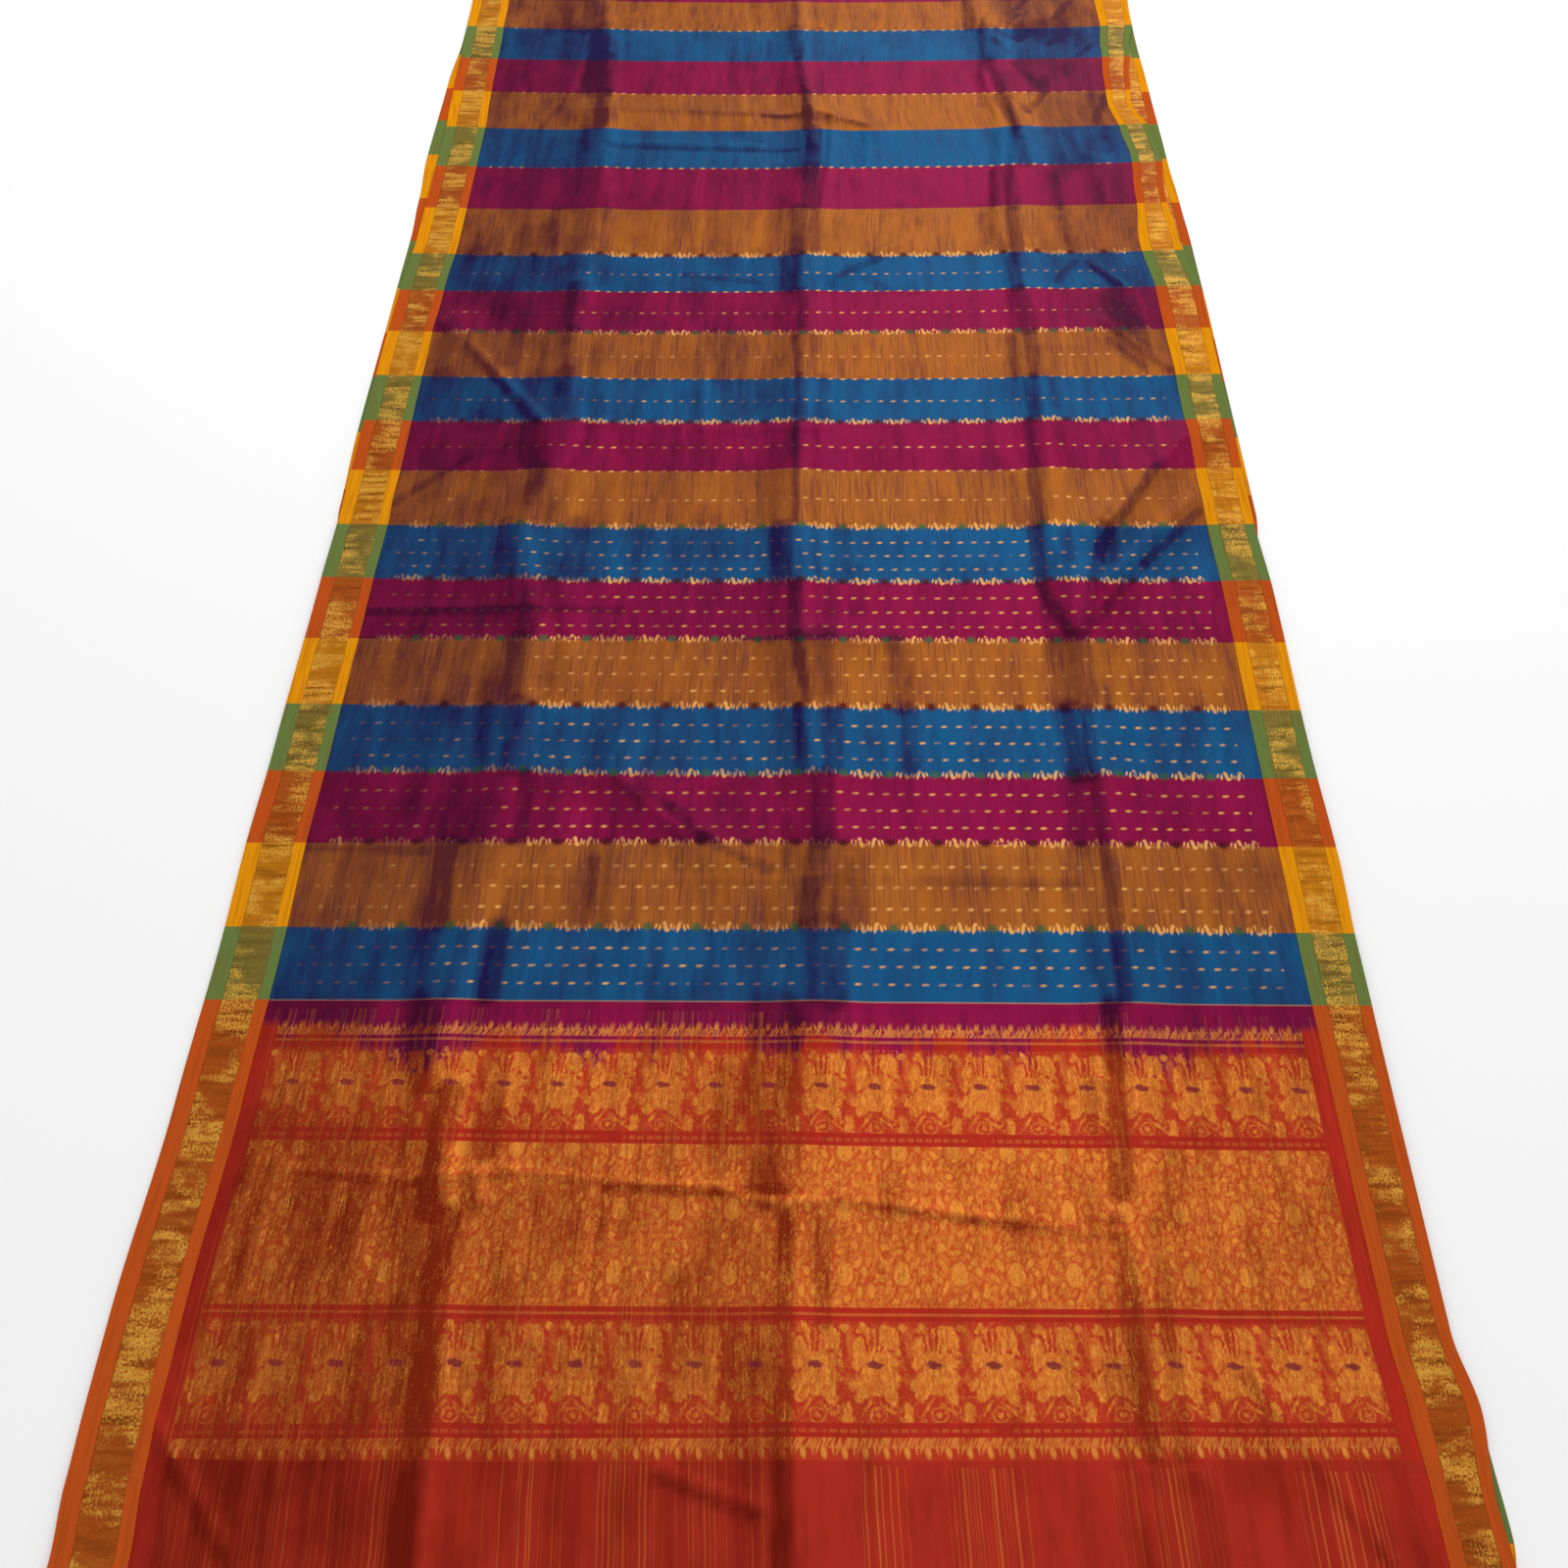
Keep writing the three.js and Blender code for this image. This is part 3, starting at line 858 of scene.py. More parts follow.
RIGHT_SHADE_STREAKS = [Streak(*row) for row in (
    (292, 1345, 292, 1240, 11, 0.40),
    (400, 1330, 450, 1240, 70, 0.17),
    (356, 1242, 379, 1281, 6, 0.30),
    (375, 1300, 400, 1345, 6, 0.30),
    (440, 1270, 470, 1330, 8, 0.25),
    (320, 1225, 324, 1135, 19, 0.31),
    (340, 1215, 375, 1195, 7, 0.35),
    (375, 1195, 400, 1225, 7, 0.30),
    (350, 1150, 330, 1190, 8, 0.30),
    (420, 1180, 450, 1215, 7, 0.25),
    (470, 1150, 500, 1190, 7, 0.25),
    (430, 1215, 430, 1150, 60, 0.14),
    (318, 1118, 330, 1020, 10, 0.35),
    (360, 1110, 395, 1040, 9, 0.22),
    (420, 1100, 440, 1020, 60, 0.09),
    (345, 1075, 345, 1012, 12, 0.22),
    (405, 1070, 402, 1025, 9, 0.26),
    (325, 1005, 350, 905, 11, 0.42),
    (345, 996, 370, 955, 6, 0.30),
    (370, 955, 402, 1019, 6, 0.30),
    (471, 919, 498, 1012, 7, 0.30),
    (420, 960, 440, 910, 50, 0.11),
    (345, 895, 352, 800, 12, 0.42),
    (400, 880, 440, 810, 34, 0.14),
    (478, 1000, 480, 860, 26, 0.20),
    (300, 780, 300, 690, 8, 0.35),
    (322, 785, 328, 680, 13, 0.36),
    (394, 770, 394, 680, 9, 0.25),
    (322, 668, 324, 560, 12, 0.42),
    (282, 665, 282, 590, 8, 0.25),
    (390, 650, 410, 570, 14, 0.18),
    (314, 548, 316, 468, 10, 0.42),
    (475, 860, 475, 330, 40, 0.13),
    (350, -710, 350, -780, 60, 0.10),
    (371, 485, 402, 538, 7, 0.30),
    (425, 538, 460, 485, 8, 0.35),
    (318, 460, 322, 372, 17, 0.40),
    (455, 450, 460, 380, 28, 0.26),
    (433, 350, 472, 290, 7, 0.30),
    (475, 350, 506, 282, 7, 0.30),
    (298, 358, 298, 268, 7, 0.35),
    (325, 358, 325, 268, 11, 0.42),
    (318, 262, 318, 175, 10, 0.42),
    (345, 255, 345, 200, 7, 0.25),
    (306, 165, 310, 75, 8, 0.35),
    (345, 165, 345, 80, 8, 0.20),
    (464, 80, 375, -80, 7, 0.42),
    (375, -80, 341, -227, 8, 0.45),
    (506, -4, 425, -104, 7, 0.40),
    (425, -104, 350, -215, 7, 0.35),
    (385, -60, 380, -100, 16, 0.30),
    (282, 60, 282, -30, 9, 0.30),
    (304, 60, 304, -30, 10, 0.30),
    (297, -42, 297, -130, 11, 0.40),
    (333, -42, 333, -100, 9, 0.30),
    (297, -140, 322, -228, 8, 0.50),
    (306, -242, 308, -335, 14, 0.30),
    (332, -242, 332, -335, 14, 0.40),
    (310, -345, 314, -435, 18, 0.35),
    (331, -345, 331, -435, 8, 0.30),
    (331, -445, 331, -728, 9, 0.50),
    (305, -445, 310, -535, 16, 0.20),
    (315, -735, 302, -935, 11, 0.50),
    (296, -965, 300, -1168, 10, 0.42),
    (329, -965, 327, -1168, 9, 0.38),
    (355, -900, 345, -960, 12, 0.25),
    (295, -1190, 294, -1257, 10, 0.26),
    (330, -1197, 332, -1257, 16, 0.24),
    (385, -1100, 470, -1240, 8, 0.12),
)]


def painted_shade_depth(x, y):
    """How much painted shade the streaks put on the silk, each with a flat middle and soft sides.
    """
    depth = np.zeros_like(x)
    for streak in LEFT_SHADE_STREAKS + CENTRE_SHADE_STREAKS + RIGHT_SHADE_STREAKS:
        away = away_from(streak, x, y) / (streak.width * STREAK_SPREAD)
        depth += streak.depth * ease(STREAK_EDGE * (1 - away))
    return depth


def painted_light_on_upper(x, y):
    """The light and shade painted on the upper layer, from 0 to about 1."""
    tone = LEFT_PANEL_TONE + FAR_GAIN * ease(y / fold_y)
    for change in TONE_CHANGES:
        start = read_table(STORAGE_FOLDS, change.fold, y) + change.offset
        along = ease((y - change.start) / change.length)
        tone += change.gain * ease((x - start) / change.width) * along
    rise = small_folds(x + SLOPE_STEP, y) - small_folds(x - SLOPE_STEP, y)
    climb = small_folds(x, y + SLOPE_STEP) - small_folds(x, y - SLOPE_STEP)
    slope = SLOPE_TONE * (rise + climb) / (2 * SLOPE_STEP)
    tone -= np.clip(slope, -MOST_BRIGHTER, MOST_DARKER)
    return tone - PAINTED_SHADE_STRENGTH * painted_shade_depth(x, y)


# The wefts aren't straight: how far each row climbs to the right, bows up at its ends and is
# pulled up beside the storage folds, in millimetres
Weft = namedtuple("Weft", "y climb bow pulled")
WEFTS = [Weft(*row) for row in (
    (1375, 12, 12, 3.5),
    (1224, 14, 15, 4.5),
    (1120, 15, 12, 1.5),
    (1011, 14, 12, 2.6),
    (898, 19, 14, 7.0),
    (789, 22, 10, 4.1),
    (673, 23, 9.5, 4.5),
    (549, 18, 9, 7.0),
    (462, 20, 7, 3.6),
    (367, 17, 7, 0.5),
    (259, 12, 7, 4.2),
    (68, 14, 3, 5.9),
    (-41, 10, 5.5, 6.2),
    (-138, 5, 5.0, 4.7),
    (-232, 4, 0, 0.6),
    (-342, 1, 0, 1.7),
    (-442, 0, 1, 5.0),
    (-535, 5, -2, 0.0),
    (-647, 3, -1, 1.3),
    (-733, 4, -1, 2.1),
    (-885, -2, 0, 1.0),
    (-1055, 4, 0, 1.0),
    (-1162, 12, 0, 1.0),
    (-1375, 14, 0, 1.0),
)]
HALF_BODY = 500
PULLED_REACH = 60

# A weft crosses a fold further along the cloth, by this share of the fold's height above the
# usual one, and by more towards the far end
USUAL_HEIGHT = 5
CARRIED = 1.155
CARRIED_FURTHER = 0.00069


def woven_length(x, y):
    """The woven length at a place on the upper layer, less its distance from the near end."""
    out = x / HALF_BODY
    slant = read_table(WEFTS, "climb", y) * out / 2 + read_table(WEFTS, "bow", y) * out**2
    beside = np.zeros_like(x)
    for fold in FOLD_SECTIONS:
        offset = x - read_table(STORAGE_FOLDS, fold.name, y)
        beside += ease(1 - np.abs(offset) / PULLED_REACH)
    carried = (upper_height(x, y) - USUAL_HEIGHT) * (CARRIED + CARRIED_FURTHER * y)
    return carried - slant - read_table(WEFTS, "pulled", y) * beside


run_of_fold = turn_y - near_y
turn_run = math.pi * TURN_RADIUS


def places_to_turn(start, cell):
    """Places along the upper layer from its start to the end of the far turn."""
    flat = even_places(start, run_of_fold, cell)
    return np.concatenate([flat, run_of_fold + even_places(0, turn_run, TURN_CELL)[1:]])


def lay_upper(across, run):
    """The upper layer by the distance along it, over the folds and round the far turn."""
    flat_y = np.minimum(run + near_y, turn_y)
    left = read_table(UPPER_OUTLINE, "left", flat_y)
    body_right = read_table(UPPER_OUTLINE, "body_right", flat_y)
    right = read_table(UPPER_OUTLINE, "right", flat_y)
    x = across_to_x(across, left, body_right, right)
    angle = np.maximum(run + near_y - turn_y, 0) / TURN_RADIUS
    y = flat_y + TURN_RADIUS * np.sin(angle)
    z = upper_height(x, flat_y) - TURN_RADIUS * (1 - np.cos(angle))
    return x, y, z, run + woven_length(x, flat_y), painted_light_on_upper(x, flat_y)


# Figures on the lines between stripes, by the number of the line
GREEN_FLOWERS = (1, 3, 5, 7, 11)
DARK_FLOWERS = (2, 4, 6, 9, 13)
DASHED_LINES = (8, 10, 12, 15, 17, 19)
LINES_CHARTED = 32
LINE_SPACING = 104
FLOWER_REPEAT = 50
FLOWER_START = 29.8
DASH_REPEAT = FLOWER_REPEAT / 3
DASH_START = 1.1
FIGURE_FIELD = 492
BODY_ROUGHNESS = 0.42
BODY_METAL = 0.14
PETAL_STRENGTH = 0.85
# How much the gold figures show, and how much more where the painted light is strong
FIGURE_SHOWN = 0.45
FIGURE_LIT = 0.5
# Shaded and lit copies of each figure colour, picked by the painted light
GOLD_FIGURE = (dye(112, 66, 48), dye(216, 156, 84))
GREEN_FIGURE = (dye(32, 46, 42), dye(62, 92, 58))
DARK_FIGURE = (dye(46, 16, 26), dye(74, 26, 26))

# Each oval of a figure: its place, its half sizes and how far its top leans to the left
DASH = (0, 0, 3.4, 1.8, 8)
DASH_EDGE = 1.3
FLOWER_PETALS = [
    (0, 2.5, 1.5, 6.6, 0), (0, 2.5, 1.4, 7.2, 40), (0, 2.5, 1.4, 7.2, -40),
    (0, 2.5, 6.8, 1.5, 0), (0, 2.5, 3.8, 3.8, 0),
]
GOLD_LEAVES = [
    (18.2, 2.8, 1.9, 7.0, 9), (17.0, 7.4, 2.0, 2.2, 30), (20.4, -1.2, 2.4, 2.4, 0),
    (-18.4, 2.6, 1.9, 6.8, -10), (-16.8, 7.2, 2.0, 2.2, -30), (12.6, 1.6, 1.4, 4.2, -8),
    (-12.4, 1.8, 1.4, 4.4, 10), (24.2, 2.8, 1.4, 4.0, 4), (-23.2, 1.4, 1.3, 3.4, -6),
    (8.8, 3.6, 1.1, 3.4, -14), (-8.8, 3.2, 1.1, 3.4, 14),
]


def chart_of_lines():
    """For each line whether it has flowers, whether they are green, and whether it has dashes."""
    stops = []
    for line in range(LINES_CHARTED - 1):
        flower = float(line in GREEN_FLOWERS or line in DARK_FLOWERS)
        colour = (flower, float(line in GREEN_FLOWERS), float(line in DASHED_LINES))
        stops.append((max(0.0, (line - 0.5) / LINES_CHARTED), colour))
    return stops


def gold_dash(silk, shift, height):
    """A row of short gold dashes, each the length of one float of thread."""
    across = (silk.across - DASH_START + shift).repeated(DASH_REPEAT)
    return across.joined(height).oval(*DASH).drawn(DASH_EDGE)


def with_line_figures(silk, cloth):
    """Flowers between gold leaves, or dashes, along the lines that the chart names."""
    past_line = silk.stripe.repeated(1.0)
    line = silk.stripe - past_line
    chart = (line / LINES_CHARTED).charted(chart_of_lines())
    flowers, green, dashes = chart.parts()
    height = past_line * LINE_SPACING
    place = (silk.across - FLOWER_START).repeated(FLOWER_REPEAT).joined(height)
    field = silk.across.within(CLOTH_WIDTH / 2, FIGURE_FIELD, 1.0)
    tone = silk.shot_tone()
    uneven = silk.clouds(9, 9).above(0.34, 0.2)
    green_dye = tone.dyed(*GREEN_FIGURE)
    flower_dye = green.dyed(tone.dyed(*DARK_FIGURE), green_dye)
    gold = silk.figure_tone(tone).dyed(*GOLD_FIGURE)
    petals = place.ovals(FLOWER_PETALS).drawn() * flowers * field
    leaves = place.ovals(GOLD_LEAVES).drawn() * flowers
    marks = leaves.either(gold_dash(silk, 0.0, height) * dashes) * field * uneven
    # Painted light: the figures show more where it is strong
    marks = marks * (silk.figure_tone(tone) * FIGURE_LIT + FIGURE_SHOWN)
    return marks.dyed((petals * PETAL_STRENGTH).dyed(cloth, flower_dye), gold)


striped_body = lay_cloth(
    "silk_body_striped",
    even_places(BODY_START, BODY_END, STRIPED_CELL[0]),
    places_to_turn(FLOWERED_END, STRIPED_CELL[1]),
    lay_upper,
)
striped_silk = Silk("striped silk")
striped_look = with_line_figures(striped_silk, striped_colour(striped_silk))
striped_body.data.materials.append(
    striped_silk.finish(striped_look, BODY_ROUGHNESS, BODY_METAL, striped_silk.grain())
)
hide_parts("body_striped")

# The flowered body
# The same stripes nearer the end panel, with rows of gold dashes inside them, three rows in
# the nearest stripes and one in those beyond, and a row of flowers on most of their lines.
PALLU_END = 630
FLOWERED_CELL = (4.7, 6.6)
DASH_ROWS_MIDDLE = 0.485
DASH_ROWS_APART = 0.245
THREE_ROWS_UNTIL = 7.0
DASHES_UNTIL = 13.0
# How much the dashes show, and how much more where the painted light is strong
DASH_SHOWN = 0.35
DASH_LIT = 0.55
FIRST_LINE_HALF = 0.6
FIRST_LINE_STRENGTH = 0.65

flowered_body = lay_cloth(
    "silk_body_flowered",
    even_places(BODY_START, BODY_END, FLOWERED_CELL[0]),
    even_places(PALLU_END, FLOWERED_END, FLOWERED_CELL[1]),
    lay_upper,
)


def with_field_dashes(silk, cloth):
    """Rows of dashes inside the stripes, each row set off from the last by half a repeat."""
    rows = (silk.stripe.math("FRACT") - DASH_ROWS_MIDDLE) / DASH_ROWS_APART
    row = rows.math("ROUND")
    height = (rows - row) * (DASH_ROWS_APART * LINE_SPACING)
    dashes = gold_dash(silk, row * (DASH_REPEAT / 2), height)
    reach = 1.5 - silk.stripe.above(THREE_ROWS_UNTIL, 0.01)
    kept = (reach - rows.math("ABSOLUTE")).above(0.0, 0.02)
    kept = kept * silk.stripe.within(DASHES_UNTIL / 2, DASHES_UNTIL / 2, 0.01)
    field = silk.across.within(CLOTH_WIDTH / 2, FIGURE_FIELD, 1.0)
    uneven = silk.clouds(14, 14).above(0.42, 0.3)
    # caught: how much painted light the gold catches
    caught = silk.figure_tone(silk.shot_tone())
    shown = dashes * kept * field * uneven * (caught * DASH_LIT + DASH_SHOWN)
    return shown.dyed(cloth, caught.dyed(*GOLD_FIGURE))


flowered_silk = Silk("flowered silk")
first_line = flowered_silk.along.within(FIRST_STRIPE, FIRST_LINE_HALF, 0.8)
flowered_colour = with_field_dashes(flowered_silk, striped_colour(flowered_silk))
flowered_colour = with_line_figures(flowered_silk, flowered_colour)
# The first line's gold, shaded or lit by the painted light
first_line_gold = flowered_silk.tone.dyed(*GOLD_FIGURE)
flowered_colour = (first_line * FIRST_LINE_STRENGTH).dyed(flowered_colour, first_line_gold)
flowered_body.data.materials.append(
    flowered_silk.finish(flowered_colour, BODY_ROUGHNESS, BODY_METAL, flowered_silk.grain())
)
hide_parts("body_flowered")

# The end panel
# The pallu, woven across with so much gold thread that its red ground shows only between
# the figures: arches at either end, two bands of flowers and a dense field between them.
PLAIN_END_LENGTH = 195
PALLU_CELL = 4
# Each colour of the pallu as a shaded and a lit copy, picked by the painted light and shade
GROUND_RED = (dye(124, 36, 16), dye(180, 55, 33))
DENSE_GROUND = (dye(118, 32, 14), dye(188, 70, 33))
LINE_RED = (dye(126, 34, 20), dye(172, 42, 30))
SHADED_GOLD = (dye(122, 36, 15), dye(196, 92, 37))
PALLU_GOLD = (dye(118, 34, 14), dye(222, 138, 53))
PALE_GOLD = (dye(142, 54, 21), dye(216, 134, 56))
CRIMSON = (dye(124, 28, 20), dye(180, 46, 32))
PLAIN_RED = (dye(108, 24, 14), dye(172, 46, 32))
SPOT_MAROON = dye(116, 30, 44)
GOLD_FIELD = 496
FIGURE_EDGE = 1.7

# Where the pallu's bands lie, from the near end of the cloth
LOWER_ARCHES = Band(202, 218)
LOWER_FLOWERS = Band(230, 318)
DENSE_FIELD = Band(330, 486)
UPPER_FLOWERS = Band(499, 588)
UPPER_ARCHES = Band(602, 620)
RED_LINES = [Band(218, 230), Band(318, 330), Band(486, 499), Band(588, 602)]
GOLD_LINES = [Band(322.5, 325), Band(595, 598)]
BROKEN_LINES = [Band(222, 225), Band(490.5, 494)]
BROKEN_REPEAT = 8.3
BROKEN_HALF = 3.0
BAND_SOFT = 0.8
PLAIN_GAP = 3

# The far edge: plain magenta past its line, a fringe of it before, and the ground's slow fade
MAGENTA_LINE = 620
FRINGE_START = MAGENTA_LINE + 8.0
FRINGE_LENGTH = 10.0
FRINGE_RAGGED = 0.12
FADE_START = 703.0
FADE_LENGTH = 22.0

# How ragged the figures are, how far their hatching leans, and how much the threads differ
RAGGED_REACH = 1.9
RAGGED_SIZE = 4.2
HATCH_LEAN = 0.45
HATCH_WIDTH = 1.9
HATCH_LENGTH = 14
THREAD_CONTRAST = 0.9
WARP_SEEN = 0.42
PALLU_WARP_GOLD = 0.5

# How strongly each kind of figure covers the ground
GAP_STRENGTH = 0.5
CURL_STRENGTH = 0.8
SHADED_STRENGTH = 0.45
TENDRIL_STRENGTH = 0.5
MOTTLED_STRENGTH = 0.6
SPOT_STRENGTH = 0.85
BUD_STRENGTH = 0.9
RING_STRENGTH = 0.8
AROUND_STRENGTH = 0.8
OUTLINE_STRENGTH = 0.5
HATCH_STRENGTH = 0.35
SLANTING_STRENGTH = 0.75
GOLD_LINE_STRENGTH = 0.4
BROKEN_LINE_STRENGTH = 0.3

ARCH_START = 656.0
ARCH_REPEAT = 16.8
ARCH_BASE = 9
ARCH_GOLD = [
    (0, 12.2, 2.3, 4.8, -8), (8.2, 9, 1.2, 4.4, 0), (-4.6, 8, 0.9, 4.0, 20),
]

# One repeat of the flower bands, from the middle of its spot and the band's near edge
SPRAY_REPEAT = 50
SPRAY_START = 651.0
SPRAY_SHIFT = 6.0
UPPER_FROM = DENSE_FIELD.start + 60
RAY_FOOT = 34.0
RAY_SPREAD = 46.0
RAY_FAN = (1, 68, 11, 14)
SPOT = (0, 49.5, 6.8, 3.3, -8)
CURL_RINGS = [(1, 6.5, 6.4, 1.5), (15, 11.5, 3.4, 1.5)]
CURL_HEARTS = [(1, 6.5, 2.4, 2.4)]
SPRAY_GOLD = [
    (2, 37, 19, 14, 0), (-2, 50, 16.5, 11, 0), (15, 57, 8.5, 10, 0), (15, 71, 7.5, 13, 2),
    (9, 81, 4, 3.4, 0), (-12.5, 63, 5, 11, -8), (-8, 83, 2.8, 3.8, 14),
    (-5, 79.5, 2.2, 3.2, -30), (-11, 79.5, 2.0, 3.0, 40), (-11.5, 25, 5.5, 8.5, -34),
    (11.5, 24, 5.5, 10, 24), (-8.5, 13, 1.4, 8, -34), (12, 9.5, 1.3, 12, 52),
    (-19, 32, 4, 5, 0),
]
BUD_GOLD = [
    (0, 9, 4.8, 8.6, 0), (-2.5, 3, 1.5, 4.4, 0), (2.8, 3, 1.5, 4.4, 0), (1, 82, 4.0, 3.6, 0),
]
SPRAY_RED = [
    (-12, 45, 1.2, 5.0, -38), (14, 61.5, 2.6, 1.8, -20), (20.5, 56, 2.8, 2.2, -30),
    (-15, 9, 3.0, 5.8, -30), (19, 10, 2.8, 4.6, 20), (-1, 18, 2.6, 2.6, 0), (0, 74, 1.1, 7, 6),
]
BETWEEN_RED = [
    (1.0, 64, 1.8, 11, 2), (-2.5, 43, 2.3, 4.6, 8), (-4, 33, 2.6, 2.3, 0),
    (2, 22.5, 4.8, 4.8, 0), (-7.5, 11, 1.5, 8, -8), (7.5, 12, 1.4, 8, 6),
]
BETWEEN_SHADED = [
    (5.5, 68, 4.6, 14, 3), (-3.5, 52, 3.5, 8, 0), (0, 38, 6, 5, 0),
]

# One repeat of the dense field, from the middle of its large blossom, and the ring flowers
# halfway between the blossoms
BLOSSOM_START = 678.0
BLOSSOM_HEIGHT = 421.5
BLOSSOM_REPEAT = (50, 60)
FLOWER_RINGS = [(-2, -10, 7.6, 2.8), (18, -4, 5.0, 2.2)]
FLOWER_HEARTS = [(-2, -10, 2.8, 3.2)]
BLOSSOM_GOLD = [
    (0, 0, 6.8, 11, 0), (0, -3.5, 7.4, 8, 0), (13, -17, 2.4, 5.2, 0), (23, -16, 3.2, 6.6, 0),
    (-14, 8, 2.6, 7, 25), (12, 10, 2.4, 6.4, -32), (-12, -13, 2.2, 6.6, -22),
    (-19, -4, 2.6, 5.6, 42), (-3, 20, 5, 2.6, 12), (9, 26, 2.6, 5.2, 30),
    (-15, 25, 3.6, 4.0, 0), (17, 2, 3.0, 4.6, 16), (-6, -26, 3.4, 3.0, 0),
    (3, -22, 2.0, 5.0, -28),
]

pallu = lay_cloth(
    "silk_pallu",
    even_places(BODY_START, BODY_END, PALLU_CELL),
    even_places(PLAIN_END_LENGTH, PALLU_END, PALLU_CELL),
    lay_upper,
)


def in_bands(silk, bands):
    """The mask of some bands that run right across the cloth."""
    masks = [silk.along.within(band.middle, band.half, BAND_SOFT) for band in bands]
    return sum(masks[1:], masks[0])


def warp_gold(silk, share):
    """Groups of yellow warp threads, a little closer at the left, seen on plain red."""
    lines = silk.clouds(2.2, 900, detail=1.0).above(0.62, 0.1)
    groups = silk.clouds(70, 3000, detail=1.0) + silk.across * -0.0001
    return lines * groups.above(0.44, 0.12) * share


